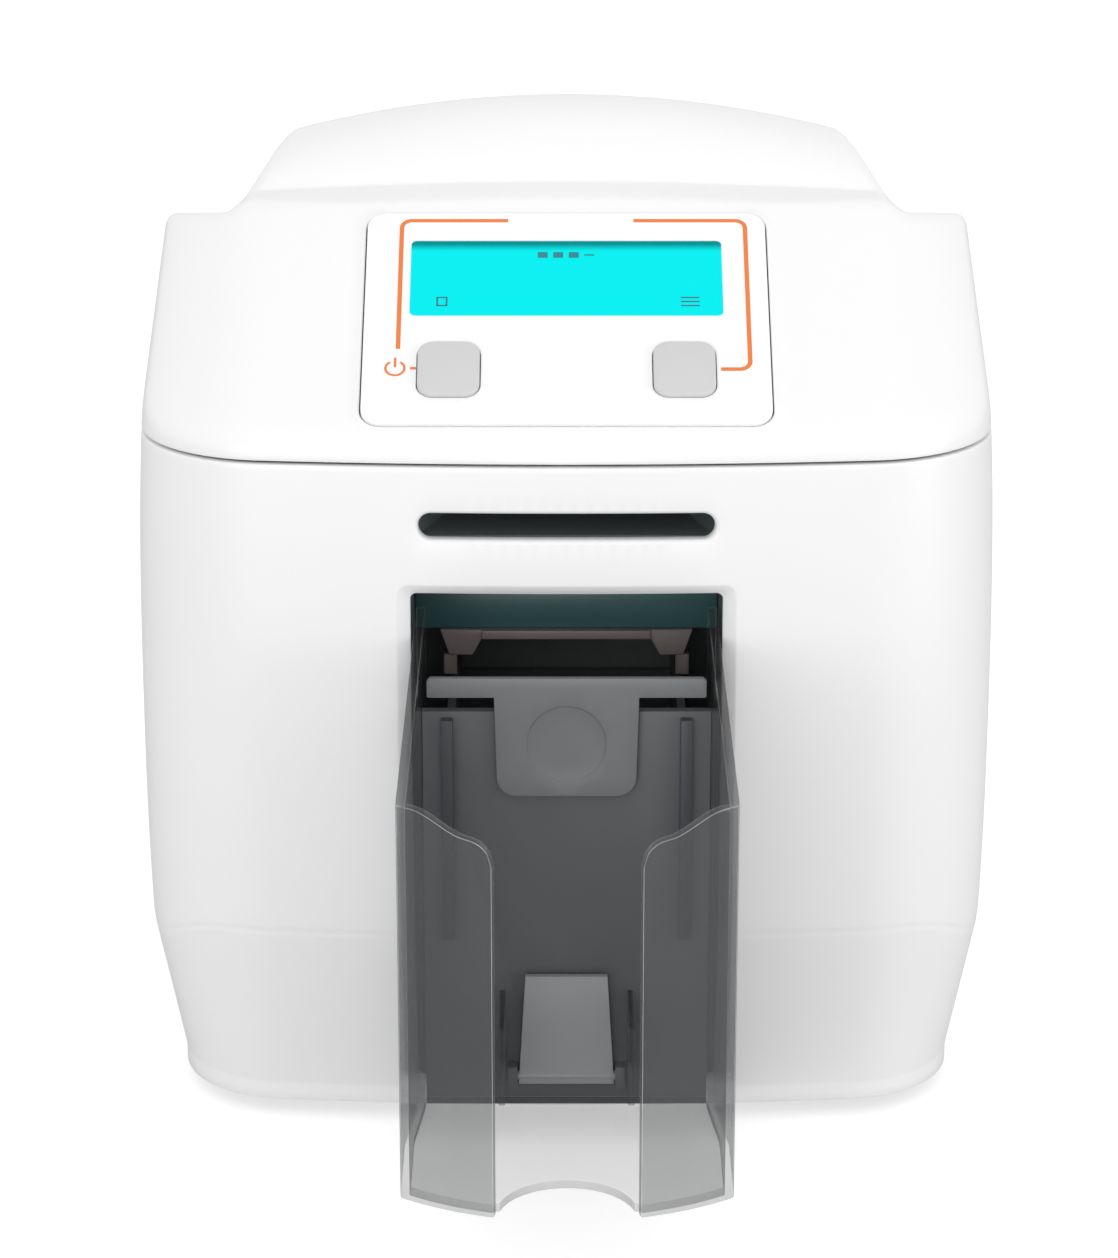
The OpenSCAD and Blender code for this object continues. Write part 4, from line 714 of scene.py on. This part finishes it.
def lidWall(s, z, t=0.0):
    x, u, nx, nu, w = outlineAt(s)
    lean = flank(z)
    line = (z - lidSizes["slopeZ"]) / lidSizes["slope"]
    shift = smoothMax(0 * line, line - bowDrop - lean, lidSizes["crestRound"])
    inset = lean + t
    px, pu = x - inset * nx, u - inset * nu + lean * w + shift * (1 - w)
    centre = smoothMax(lean, line, lidSizes["crestRound"])
    blended = smoothMax(pu, centre, lidSizes["bowRound"] * smoothStep(*lidSizes["bowFade"], z))
    pu = np.where((nu < lidSizes["frontTurn"]) & (z > seam["z"]), blended, pu)
    return np.stack([px, frontY + pu, z + 0 * px], -1)


def lidEnds(s):  # heights of the wall's foot and of the corner where it would meet the roof
    x, u, nx, nu, w = outlineAt(s)
    low = np.minimum(seamZ(u) + seam["half"], hingeLow(u, hinge["lidR"])) + seam["round"]
    extra = lidSizes["crestGain"] * (1 - smoothStep(*lidSizes["gainFade"], np.abs(x))) * (nu < lidSizes["frontTurn"])
    bottom, top = low.copy(), np.full(len(s), lidSizes["searchFrom"])
    for _ in range(lidSizes["searchSteps"]):
        middle = (bottom + top) / 2
        pu = lidWall(s, middle)[:, 1] - frontY
        over = middle > shoulderZ(np.maximum(pu, lidSizes["crestU"])) + extra
        top = np.where(over, middle, top)
        bottom = np.where(over, bottom, middle)
    return low, (bottom + top) / 2


def filletOf(s):  # length of the rounding: small at the front and sides, the hinge's round at the back
    x, u, nx, nu, w = outlineAt(s)
    front = (1 - smoothStep(*lidSizes["filletFade"], np.abs(x))) * (nu < lidSizes["frontTurn"])
    size, atPanel, atBack = lidSizes["fillet"], lidSizes["panelFillet"], lidSizes["backFillet"]
    return size - (size - atPanel) * front + (atBack - size) * smoothStep(*lidSizes["backFade"], nu * (w >= 1))


def wallSpan(s):  # heights of the wall's foot and of its top, where the rounding starts
    low, high = lidEnds(s)
    return low, np.maximum(high - filletOf(s), low + lidSizes["leastWall"])


def lidPoint(s, v, t=0.0):
    low, top = wallSpan(s)
    return lidWall(s, low + (top - low) * v, t)


panelHole = {"halfX": 51.9, "lowS": 0.7, "highS": 74.5, "r": 5.4, "footZ": 189.0, "footU": 8, "rise": 0.5455,
    "pitch": 4.5, "crestShare": 0.4,
    "rim": 1.6, "rimShape": [(0.25, 0.16), (0.5, 0.24), (0.8, 0.2), (1.0, -0.05)], "zone": (6, 188.4, 56)}
columns = columnsRound(*lidSizes["columns"])
stretch = 50.0  # length that stands for the wall's whole height in its flat mesh


def slopeToDomain(x, along):
    z = panelHole["footZ"] + panelHole["rise"] * along
    s = plan["bowR"] * np.arcsin(np.asarray(x) / plan["bowR"])
    low, top = wallSpan(s)
    return np.stack([s, (z - low) / (top - low) * stretch], -1)


def slopeLoop(grow):
    middle, half = (panelHole["lowS"] + panelHole["highS"]) / 2, (panelHole["highS"] - panelHole["lowS"]) / 2
    # the rim stays level with the hole's top edge, where it runs into the crest
    loop = roundLoop(0, middle, panelHole["halfX"] + grow, half + grow, panelHole["r"] + grow)
    loop = np.array(denser(loop, panelHole["pitch"]))
    loop[:, 1] = np.minimum(loop[:, 1], panelHole["highS"] + grow * panelHole["crestShare"])
    return loop


rimLoop = slopeLoop(panelHole["rim"])
domainLoop = [tuple(p) for p in slopeToDomain(rimLoop[:, 0], rimLoop[:, 1])]
flat, outer, faces, _, _, _ = shellSheets(lidPoint, columns, lidSizes["rows"], [domainLoop],
    lidSizes["clear"], stretch)
points = [tuple(p) for p in outer]
lidFaces = [tuple(f) for f in faces]

# Fillet rings from the wall's top to the roof's border
topIndex = indexRow(flat, stretch)
cols = flat[topIndex][:, 0]
low, high = lidEnds(cols)
size = filletOf(cols)
foot = lidPoint(cols, np.ones(len(cols)))
corner = lidWall(cols, high)
x, u, nx, nu, w = outlineAt(cols)
roofEnd = corner.copy()
roofEnd[:, 0] -= nx * size
roofEnd[:, 1] -= nu * size
roofEnd[:, 2] = roofZ(roofEnd[:, 0], roofEnd[:, 1] - frontY)
rows = [topIndex]
for a in range(15, 91, 15):
    sa, ca = math.sin(math.radians(a)), math.cos(math.radians(a))
    rows.append(foot + (corner - foot) * sa + (roofEnd - corner) * (1 - ca))
openStrips(points, lidFaces, rows)

# Roof heights over the plan inside that border
border = [(p[0], p[1] - frontY) for p in roofEnd[:-1]]
gridU = np.array(roofGrid["frontUs"] + list(np.linspace(*roofGrid["backUs"])))
gridX = np.array(sorted({hand * x for hand in (-1, 1) for x in roofGrid["xs"]}))
roofFlat, roofFaces, _ = flatMesh(gridPoints(gridX, gridU), [], roofGrid["clear"], border)
base = len(points)
heights = roofZ(roofFlat[:, 0], roofFlat[:, 1])
points += [(p[0], p[1] + frontY, h) for p, h in zip(roofFlat, heights)]
lidFaces += [tuple(base + i for i in f) for f in roofFaces]

# Inner skin by the outer surface's own normals, and the edges that join the two
work = bmesh.new()
for p in points:
    work.verts.new(p)
work.verts.ensure_lookup_table()
for f in lidFaces:
    if len(set(f)) > 2:
        try:
            work.faces.new([work.verts[i] for i in f])
        except ValueError:
            pass
bmesh.ops.remove_doubles(work, verts=work.verts, dist=weld)
bmesh.ops.recalc_face_normals(work, faces=work.faces)
work.normal_update()
if sum(f.normal.z * f.calc_area() for f in work.faces) < 0:
    bmesh.ops.reverse_faces(work, faces=work.faces)
    work.normal_update()
openEdges = [e for e in work.edges if len(e.link_faces) == 1]
print("lid sheet", len(work.verts), "open edges", len(openEdges))
outerAt = np.array([v.co[:] for v in work.verts])
normalAt = np.array([v.normal[:] for v in work.verts])
slopeN = np.array([0, -panelHole["rise"], math.sqrt(1 - panelHole["rise"] ** 2)])
slopeDir = np.array([0, slopeN[2], panelHole["rise"]])
slopeFoot = np.array([0, frontY + panelHole["footU"], panelHole["footZ"]])
total = len(outerAt)
verts = [tuple(p) for p in outerAt] + [tuple(p) for p in outerAt - lidSizes["wall"] * normalAt]
sheet = [tuple(v.index for v in f.verts) for f in work.faces]
sheet += [tuple(total + i for i in reversed(f)) for f in sheet]
added = {}


def rimSteps(i):
    p, n = outerAt[i], normalAt[i]
    deep, low, wide = panelHole["zone"]
    if p[1] > frontY + deep and p[2] > low and abs(p[0]) < wide:  # the panel's hole: a low raised rim
        n = slopeN
        along = float(np.dot(p - slopeFoot, slopeDir))
        r = panelHole["r"]
        toward = np.array([np.clip(p[0], -panelHole["halfX"] + r, panelHole["halfX"] - r) - p[0],
            np.clip(along, panelHole["lowS"] + r, panelHole["highS"] - r) - along])
        reach = np.linalg.norm(toward)
        e = (toward[0] * np.array([1.0, 0, 0]) + toward[1] * slopeDir) / reach
        d = reach - r
        steps = panelHole["rimShape"] + [(1.0, -lidSizes["wall"])]
        return [p + share * d * e + rise * n for share, rise in steps]
    down = np.array([0, 0, -1.0])
    return [p + drop * down - depth * n for drop, depth in lidSizes["seamRim"]]


for edge in openEdges:
    for vert in edge.verts:
        if vert.index not in added:
            added[vert.index] = list(range(len(verts), len(verts) + len(rimSteps(vert.index))))
            verts += [tuple(p) for p in rimSteps(vert.index)]
for edge in openEdges:
    a, b = edge.verts[0].index, edge.verts[1].index
    ringA, ringB = [a] + added[a] + [total + a], [b] + added[b] + [total + b]
    if len(ringA) == len(ringB):
        sheet += [(ringA[k], ringB[k], ringB[k + 1], ringA[k + 1]) for k in range(len(ringA) - 1)]
work.free()
lidCasing = makePiece("lidCasing", verts, sheet, "lid", "lid", ("lid_shell",), shellAngle)
print("lidCasing", len(lidCasing.data.polygons))

# Control panel: the moulding, its printed lines, the lit display and two keys
softened("control_panel", "controlPanelFilm", 0.45, "panel", "lid", 3)


def onSlope(x, along, out):  # a point on the lid's slope, out of its surface
    p = slopeFoot + along * slopeDir + out * slopeN
    return (x, p[1], p[2])


def ribbon(points, width, closed=False):  # a flat strip of even width through points
    pts = np.array(points, float)
    n = len(pts)
    left, right = [], []
    for i in range(n):
        before = pts[i] - pts[i - 1] if i or closed else pts[1] - pts[0]
        after = pts[(i + 1) % n] - pts[i] if i < n - 1 or closed else pts[-1] - pts[-2]
        d = before / np.linalg.norm(before) + after / np.linalg.norm(after)
        d /= np.linalg.norm(d)
        grow = width / 2 / max(0.5, abs(np.dot(d, after / np.linalg.norm(after))))
        left.append(pts[i] + grow * np.array([-d[1], d[0]]))
        right.append(pts[i] - grow * np.array([-d[1], d[0]]))
    return left, right


def printed(name, strokes, top, key, thick=0.05, sunk=0.02):  # raised ink on the slope
    verts, faces = [], []
    for points, width in strokes:
        left, right = ribbon(points, width)
        base, n = len(verts), len(left)
        for side, out in ((left, top + thick), (right, top + thick), (left, top - sunk), (right, top - sunk)):
            verts += [onSlope(x, along, out) for x, along in side]
        for i in range(n - 1):
            a, b, c, d = (base + k * n + i for k in range(4))
            faces += [(a, b, b + 1, a + 1), (c, c + 1, d + 1, d), (a, a + 1, c + 1, c), (b, d, d + 1, b + 1)]
        for i in (0, n - 1):
            a, b, c, d = (base + k * n + i for k in range(4))
            faces.append((a, c, d, b) if i == 0 else (a, b, d, c))
    return makePiece(name, verts, faces, key, "lid")


def bend(cx, cz, r, start, end, steps=8):
    return [(cx + r * math.cos(math.radians(start + (end - start) * i / steps)),
        cz + r * math.sin(math.radians(start + (end - start) * i / steps))) for i in range(steps + 1)]


# Places on the slope: across from the middle, and up from its foot
printSizes = {
    "line": 1.15, "r": 2.6, "top": 0.8, "lineZ": 71.2, "left": -42.6, "right": 46.3, "leftEndZ": 26.2,
    "keyZ": 19.3, "keyEdge": 38.9, "breakFrom": -15.1, "breakTo": 17.4,
    "power": (-43.2, 19.6), "powerR": 2.4, "powerTurn": (122, 418, 28), "powerLine": 0.62, "powerBar": (0.3, 3.6),
    "dash": (3.8, 5.5), "dashLine": 0.8,
}
r, lineZ, keyZ = printSizes["r"], printSizes["lineZ"], printSizes["keyZ"]
left, right = printSizes["left"], printSizes["right"]
leftLine = [(printSizes["breakFrom"], lineZ)] + bend(left + r, lineZ - r, r, 90, 180)
leftLine.append((left, printSizes["leftEndZ"]))
rightLine = [(printSizes["breakTo"], lineZ)] + bend(right - r, lineZ - r, r, 90, 0)
rightLine += bend(right - r, keyZ + r, r, 0, -90) + [(printSizes["keyEdge"], keyZ)]
powerX, powerZ = printSizes["power"]
printed("panelPrint", [
    (leftLine, printSizes["line"]),
    (rightLine, printSizes["line"]),
    (bend(powerX, powerZ, printSizes["powerR"], *printSizes["powerTurn"]), printSizes["powerLine"]),
    ([(powerX, powerZ + h) for h in printSizes["powerBar"]], printSizes["powerLine"]),
    ([(powerX + h, powerZ) for h in printSizes["dash"]], printSizes["dashLine"]),
], printSizes["top"], "ink")

# Plain signs on the display: three blocks and a dash, a square, and three bars
icons = {
    "top": 0.5, "line": 0.5, "blockZ": 59.2, "block": 2.6, "blockLine": 2.0, "blockXs": (-7.4, -3.4, 0.6),
    "dashX": 4.6, "square": (-33.2, -30.4, 41.4, 44.2), "squareIn": 0.2, "bars": (29.2, 34.0),
    "barZs": (41.4, 42.8, 44.2),
}
blockZ, thin = icons["blockZ"], icons["line"]
x0, x1, z0, z1 = icons["square"]
strokes = [([(x, blockZ), (x + icons["block"], blockZ)], icons["blockLine"]) for x in icons["blockXs"]]
strokes.append(([(icons["dashX"], blockZ), (icons["dashX"] + icons["block"], blockZ)], thin))
strokes += [([(x0, z), (x1, z)], thin) for z in (z0, z1)]
strokes += [([(x, z0), (x, z1)], thin) for x in (x0 + icons["squareIn"], x1 - icons["squareIn"])]
strokes += [([(x, z) for x in icons["bars"]], thin) for z in icons["barZs"]]
printed("displayIcons", strokes, icons["top"], "icon")
for node, name in (("left_button", "leftKey"), ("right_button", "rightKey")):
    softened(node, name, 0.55, "button", node, 3)
print("control panel")

# Hopper: side walls that turn into two bowed wings with a gap between, over a clear shelf and ramp
hopper = {
    "half": 38.6, "wall": 2.2, "topZ": 136.0, "reach": -125.0, "insideU": 26.8, "wingR": 66.67, "wingU": -60.5,
    "gapHalf": 17.0, "wingDrop": 5.0, "cornerR": 6.0, "shelfZ": 41.0, "bendU": -87.0, "rampU": -7.0,
    "rampZ": 13.0, "rampEndU": -5.2, "thumbR": 16.0, "thumbHalf": 15.6, "lipU": 3.0, "steps": 24,
    "elbowU": -112, "elbowThick": 1.2, "stepUs": (-0.5, 1.2),
    # the round from a wall into its wing: two points, and the normal between them
    "turnPoints": (0.8, -0.1), "turnIn": 0.25, "turnNormal": (0.83, -0.56),
    # where the shelf's mesh has its rows and, for each half, its columns
    "shelfUs": [-70, -50, -30], "shelfShares": [0.0, 0.03, 0.12, 0.35, 0.6, 0.85, 1.0],
    "shelfXs": [0, 2, 4, 6, 8, 10, 12, 13.5, 14.6, 15.4, 15.7, 16.9, 17.1, 20, 24, 28, 32],
    # where the walls' mesh has its columns, and the shares of its height for the rows
    "columns": (14.0, 1.4, -0.6, -4.0, -8.0, -20, -40, -60, -80, -86.8, -89, -100, -109),
    "shares": [0, 0.06, 0.2, 0.4, 0.6, 0.8, 0.92, 0.97, 1.0],
}


def hopperPath():  # plan points from the wall's inner end to the wing's edge, with normals
    path = [((hopper["half"], u), (1.0, 0.0)) for u in (hopper["insideU"], *hopper["columns"])]
    start = math.asin(hopper["half"] / hopper["wingR"])
    end = math.asin(hopper["gapHalf"] / hopper["wingR"])
    frontU = hopper["wingU"] - math.sqrt(hopper["wingR"] ** 2 - hopper["half"] ** 2)
    before, after = hopper["turnPoints"]
    path.append(((hopper["half"], frontU + before), (1.0, 0.0)))
    path.append(((hopper["half"] - hopper["turnIn"], frontU + after), hopper["turnNormal"]))
    for i in range(1, hopper["steps"] + 1):
        a = start + (end - start) * i / hopper["steps"]
        path.append(((hopper["wingR"] * math.sin(a), hopper["wingU"] - hopper["wingR"] * math.cos(a)),
            (math.sin(a), -math.cos(a))))
    return path


def hopperTop(x):
    drop = hopper["wingDrop"] * smoothStep(hopper["half"] - 3, hopper["gapHalf"] + hopper["cornerR"] - 1, x)
    past = np.clip((hopper["gapHalf"] + hopper["cornerR"] - x) / hopper["cornerR"], 0, 1)
    return hopper["topZ"] - drop - hopper["cornerR"] * (1 - np.sqrt(1 - past ** 2))


def hopperFoot(u):
    shelf, ramp = hopper["shelfZ"] - hopper["wall"], hopper["rampZ"] - hopper["wall"]
    return np.interp(u, [hopper["reach"], hopper["bendU"], hopper["rampU"] - 1, *hopper["stepUs"]],
        [shelf, shelf, ramp, ramp, hopper["rampZ"]])


def slabFaces(base, n, m):  # faces of a plate whose two sides are n by m grids of points
    def at(i, k, d):
        return base + d * n * m + i * m + k

    faces = []
    for i in range(n - 1):
        for k in range(m - 1):
            faces.append((at(i, k, 0), at(i + 1, k, 0), at(i + 1, k + 1, 0), at(i, k + 1, 0)))
            faces.append((at(i, k, 1), at(i, k + 1, 1), at(i + 1, k + 1, 1), at(i + 1, k, 1)))
        for k in (0, m - 1):
            faces.append((at(i, k, 0), at(i + 1, k, 0), at(i + 1, k, 1), at(i, k, 1)))
    for i in (0, n - 1):
        for k in range(m - 1):
            faces.append((at(i, k, 0), at(i, k + 1, 0), at(i, k + 1, 1), at(i, k, 1)))
    return faces


verts, faces = [], []
shares = hopper["shares"]
for hand in (-1, 1):
    base = len(verts)
    path = hopperPath()
    n, m = len(path), len(shares)
    for depth in (0.0, hopper["wall"]):
        for (x, u), (nx, nu) in path:
            px, pu = x - nx * depth, u - nu * depth
            if depth and nx == 1.0 and u < hopper["elbowU"]:  # the wall is thicker inside its elbow
                pu += hopper["elbowThick"]
            low, high = float(hopperFoot(u)), float(hopperTop(x))
            verts += [(hand * px, frontY + pu, low + (high - low) * k) for k in shares]
    faces += slabFaces(base, n, m)


def shelfFront(x):
    x = abs(x)
    if x <= hopper["thumbHalf"]:
        return hopper["reach"] - 1 + math.sqrt(hopper["thumbR"] ** 2 - x * x)
    if x < hopper["gapHalf"]:
        return hopper["reach"] + hopper["lipU"]
    return hopper["wingU"] - math.sqrt((hopper["wingR"] - hopper["wall"]) ** 2 - x * x)


inHalf = hopper["half"] - hopper["wall"]
xs = sorted({hand * x for hand in (-1, 1) for x in hopper["shelfXs"] + [inHalf]})
lines = hopper["shelfShares"]
slopeUs = hopper["shelfUs"] + [hopper["rampU"], hopper["rampEndU"]]
base = len(verts)
for drop in (0, hopper["wall"]):
    for x in xs:
        front = shelfFront(x)
        us = [front + (hopper["bendU"] - front) * k for k in lines] + slopeUs
        fall = np.interp(slopeUs, [hopper["bendU"], hopper["rampU"]], [hopper["shelfZ"], hopper["rampZ"]])
        zs = [hopper["shelfZ"]] * len(lines) + list(fall)
        verts += [(x, frontY + u, z - drop) for u, z in zip(us, zs)]
faces += slabFaces(base, len(xs), len(lines) + len(slopeUs))


def roundedPiece(verts, faces, name, width, key, body, replaced, limit=bevelLimit, edgeKey=None):
    mesh = cleaned(meshOf(name + "Rough", verts, faces), 0.001)
    return rounded(mesh, name, width, key, body, replaced, 2, limit, edgeKey)


# the rounded edge strips take the near-white edge finish, a painted highlight along every edge
roundedPiece(verts, faces, "smokedHopper", 0.45, "smoked", "hopper", ("hopper_shell",),
    edgeKey="edge")
softened("hopper_fins", "clearFins", 0.3, "smoked", "hopper")
print("hopper")

# Feeder: wall, ribs, hinged tongue and the lift-out cover with its thumb tab
cover = {"half": 35.0, "topZ": 128.5, "barZ": 123.5, "tabHalf": 18.2, "tabZ": 97.2,
    "tabR": 5.0, "frontU": -7.5, "backU": -5.3, "recessR": 11.0, "recessZ": 111.2, "draft": 0.6,
    "corner": 0.8, "foot": 0.4, "edge": 0.3, "steps": 48, "recessRim": 0.93,
    "fieldXs": (-34, 34.1), "fieldZs": (98, 128), "pitch": 4.0,
    # the recess's rings: share of its radius and depth
    "recess": ((0.985, 0.05), (0.965, 0.4), (0.5, 0.55), (0.02, 0.55))}
half, topZ, barZ = cover["half"], cover["topZ"], cover["barZ"]
tabR = cover["tabR"]
tabEnd = bend(cover["tabHalf"] - cover["draft"] - tabR, cover["tabZ"] + tabR, tabR, -90, 0, 6)
rightEdge = tabEnd + [(cover["tabHalf"], barZ), (half - cover["edge"], barZ), (half, barZ + cover["foot"]),
    (half, topZ - cover["corner"]), (half - cover["corner"], topZ)]
coverLoop = denser(rightEdge + [(-x, z) for x, z in reversed(rightEdge)], 3.0)
circle = bend(0, cover["recessZ"], cover["recessR"] * cover["recessRim"], 0, 360, cover["steps"])[:-1]
field = gridPoints(*(np.arange(*cover[span], cover["pitch"]) for span in ("fieldXs", "fieldZs")))
flat, faces, rings = flatMesh(field, [circle], 1.0, coverLoop)
verts = [(x, frontY + cover["frontU"], z) for x, z in flat]
sheet = [tuple(f) for f in faces]
inside, outside = rings
loop = np.array(circle)
centre = np.array([0, cover["recessZ"]])
depthRings = [np.stack([centre[0] + (loop[:, 0] - centre[0]) * k,
    np.full(len(loop), frontY + cover["frontU"] + d), centre[1] + (loop[:, 1] - centre[1]) * k], -1)
    for k, d in cover["recess"]]
strips(verts, sheet, [inside] + depthRings)
sheet.append(tuple(range(len(verts) - len(loop), len(verts))))
back = np.array([verts[i] for i in outside])
back[:, 1] = frontY + cover["backU"]
strips(verts, sheet, [outside, back])
sheet.append(tuple(range(len(verts) - len(back), len(verts))))
roundedPiece(verts, sheet, "liftOutCover", 0.3, "cover", "feeder_cover", ("feeder_cover",), limit=50)
softened("feeder_wall", "feederWallPlate", 0.35, "feeder", "hopper")
softened("guide_ribs", "guideRibStrips", 0.3, "tray", "hopper")
softened("latch_tongue", "hingedTongue", 0.5, "tongue", "latch_tongue", 3)
print("feeder")

# Small shown parts that keep their form with rounded edges
for node, name, width, key, body, slot in (
    ("exit_chute", "exitChuteLip", 0.5, "chute", "base", "chute_teal"),
    ("feed_gate", "feedGateBar", 0.4, "gate", "base", "gate_pinkish"),
    ("slot_guide", "slotGuideMouth", 0.3, "slotInside", "base", "dark_plastic"),
    ("rear_panel", "rearPlate", 0.3, "tray", "base", "dark_plastic"),
    ("rubber_feet", "roundFeet", 0.9, "foot", "base", "feet_rubber"),
    ("network_port", "networkSocket", 0.3, "steel", "base", "port_metal"),
    ("usb_port", "usbSocket", 0.3, "steel", "base", "port_metal"),
    ("power_inlet", "powerSocket", 0.3, "chip", "base", "component_black"),
    ("fan_rotor", "fanBlades", 0.25, "dark", "fan_rotor", "dark_plastic"),
    ("head_bracket", "headCarrier", 0.3, "steel", "lid", "steel_plate"),
    ("hinge_brackets", "hingeLugs", 0.3, "steel", "base", "steel_plate"),
):
    softened(node, name, width, key, body)
print("small parts")


# Rows of equal parts: a node tree sets copies of one part along a line and gives them a finish
def rowTree(name, key):
    tree = bpy.data.node_groups.new(name, "GeometryNodeTree")
    face = tree.interface
    face.new_socket("Geometry", in_out="INPUT", socket_type="NodeSocketGeometry")
    sockets = {
        "count": face.new_socket("Count", in_out="INPUT", socket_type="NodeSocketInt").identifier,
        "start": face.new_socket("Start", in_out="INPUT", socket_type="NodeSocketVector").identifier,
        "step": face.new_socket("Step", in_out="INPUT", socket_type="NodeSocketVector").identifier,
    }
    face.new_socket("Geometry", in_out="OUTPUT", socket_type="NodeSocketGeometry")
    source, sink = tree.nodes.new("NodeGroupInput"), tree.nodes.new("NodeGroupOutput")
    line = tree.nodes.new("GeometryNodeMeshLine")
    copies = tree.nodes.new("GeometryNodeInstanceOnPoints")
    real = tree.nodes.new("GeometryNodeRealizeInstances")
    paint = tree.nodes.new("GeometryNodeSetMaterial")
    paint.inputs["Material"].default_value = finishes[key]
    link = tree.links.new
    link(source.outputs["Count"], line.inputs["Count"])
    link(source.outputs["Start"], line.inputs["Start Location"])
    link(source.outputs["Step"], line.inputs["Offset"])
    link(line.outputs["Mesh"], copies.inputs["Points"])
    link(source.outputs["Geometry"], copies.inputs["Instance"])
    link(copies.outputs["Instances"], real.inputs["Geometry"])
    link(real.outputs["Geometry"], paint.inputs["Geometry"])
    link(paint.outputs["Geometry"], sink.inputs["Geometry"])
    return tree, sockets


def row(name, mesh, key, body, slot, count, start, step, replaced=()):
    unit = placed(name + "Unit", mesh)
    tree, sockets = rowTree(name + "Row", key)
    modifier = unit.modifiers.new("row", "NODES")
    modifier.node_group = tree
    modifier[sockets["count"]] = count
    modifier[sockets["start"]] = [c * mm for c in start]
    modifier[sockets["step"]] = [c * mm for c in step]
    return dress(placed(name, worked(unit)), key, body, replaced, smoothLimit, turn=False)


def turned(profile, steps):  # a closed turned form about x from (radius, along) pairs
    verts, faces = [], []
    turns = [2 * math.pi * i / steps for i in range(steps)]
    strips(verts, faces, [np.array([(h, r * math.cos(a), r * math.sin(a)) for a in turns]) for r, h in profile])
    faces += [tuple(range(steps)), tuple(range(len(verts) - steps, len(verts)))]
    return cleaned(meshOf("turned", verts, faces))


# Heat-sink fins: thin plates with a rounded top on the print head's back
fin = {"t": 1.6, "halfL": 12.0, "lowZ": 180.0, "topZ": 192.0, "u": 165.0, "pitch": 4.0, "count": 15, "r": 0.45}
halfT, tall = fin["t"] / 2, fin["topZ"] - fin["lowZ"]
side = [(halfT - fin["r"], tall), (halfT, tall - fin["r"]), (halfT, 0)]
profile = [(-x, z) for x, z in reversed(side)] + side
verts = [(x, y, z) for y in (-fin["halfL"], fin["halfL"]) for x, z in profile]
n = len(profile)
faces = [(i, (i + 1) % n, n + (i + 1) % n, n + i) for i in range(n)]
faces += [tuple(range(n - 1, -1, -1)), tuple(range(n, 2 * n))]
row("heatSinkFins", meshOf("finUnit", verts, faces), "aluminium", "lid", "heatsink_alu", fin["count"],
    (-fin["pitch"] * (fin["count"] - 1) / 2, frontY + fin["u"], fin["lowZ"]), (fin["pitch"], 0, 0),
    ("head_heatsink",))

# Their base plate, a little narrower at its chamfered foot
sinkBase = {"halfX": 30.0, "lowZ": 176.0, "chamfer": 0.5}
low, high = sinkBase["lowZ"], fin["lowZ"]
corners = [(-1, -1), (1, -1), (1, 1), (-1, 1)]
verts = [(cx * (sinkBase["halfX"] - inset), frontY + fin["u"] + cy * (fin["halfL"] - inset), z)
    for z, inset in ((low, sinkBase["chamfer"]), (low + sinkBase["chamfer"], 0), (high, 0))
    for cx, cy in corners]
faces = [(3, 2, 1, 0), (8, 9, 10, 11)]
faces += [(k + i, k + (i + 1) % 4, k + 4 + (i + 1) % 4, k + 4 + i) for k in (0, 4) for i in range(4)]
makePiece("heatSinkBase", verts, faces, "aluminium", "lid")

# Ribbed tread on the driven rollers: fine rings in the rubber, one row each
tread = {"rollers": (("feed_roller", 132.0), ("platen_roller", 165.0), ("rear_roller", 225.0)), "r": 8.02,
    "z": 157.0, "pitch": 3.0, "count": 17, "low": 0.3, "crown": 0.03, "halfFoot": 0.7, "halfTop": 0.45,
    "steps": 40}
ringSide = [(tread["r"] - tread["low"], tread["halfFoot"]), (tread["r"], tread["halfTop"])]
ringProfile = [(r, -h) for r, h in ringSide] + [(tread["r"] + tread["crown"], 0.0)] + ringSide[::-1]
for node, u in tread["rollers"]:
    row(node.replace("_roller", "Tread"), turned(ringProfile, tread["steps"]), "rubber", node, "roller_rubber",
        tread["count"],
        (-tread["pitch"] * (tread["count"] - 1) / 2, frontY + u, tread["z"]), (tread["pitch"], 0, 0))
print("rows of parts")

# Each frame node takes its finish
nodeFinish = {
    "casing": "body_shell rear_panel hinge_brackets hinge_ears",
    "lid": "lid_shell",
    "panel": "control_panel",
    "button": "left_button right_button",
    "feeder": "hopper_shell feeder_box guide_ribs feeder_wall",
    "cover": "feeder_cover latch_tongue",
    "dark": "card_bay feed_ramp display_module slot_guide fan_housing fan_rotor card_deck button_board"
        " catch_strikers panel_tray head_bracket",
    "tray": "base_tray",
    "chute": "exit_chute",
    "gate": "feed_gate",
    "rubber": "feed_roller platen_roller rear_roller pick_roller pinch_roller drive_belt",
    "foot": "rubber_feet",
    "tacky": "cleaning_roller",
    "steel": "cross_bars left_side_frame right_side_frame network_port usb_port power_inlet screws",
    "bright": "hinge_pins motor_pulley",
    "aluminium": "head_heatsink hopper_fins",
    "bronze": "shaft_bushings",
    "ceramic": "print_head",
    "motor": "transport_motor ribbon_motor",
    "board": "main_board",
    "chip": "card_sensor board_components",
    "magnet": "catch_magnets",
    "spool": "supply_spool takeup_spool",
    "film": "ribbon_film",
    "cyan": "display_window",
    "lift": "card_lift",
}
finishOf = {node: key for key, nodes in nodeFinish.items() for node in nodes.split()}
for name, node in frameNodes.items():
    node.data.materials.clear()
    node.data.materials.append(finishes[finishOf[name]])
print("finished:", len(frameNodes), "nodes")
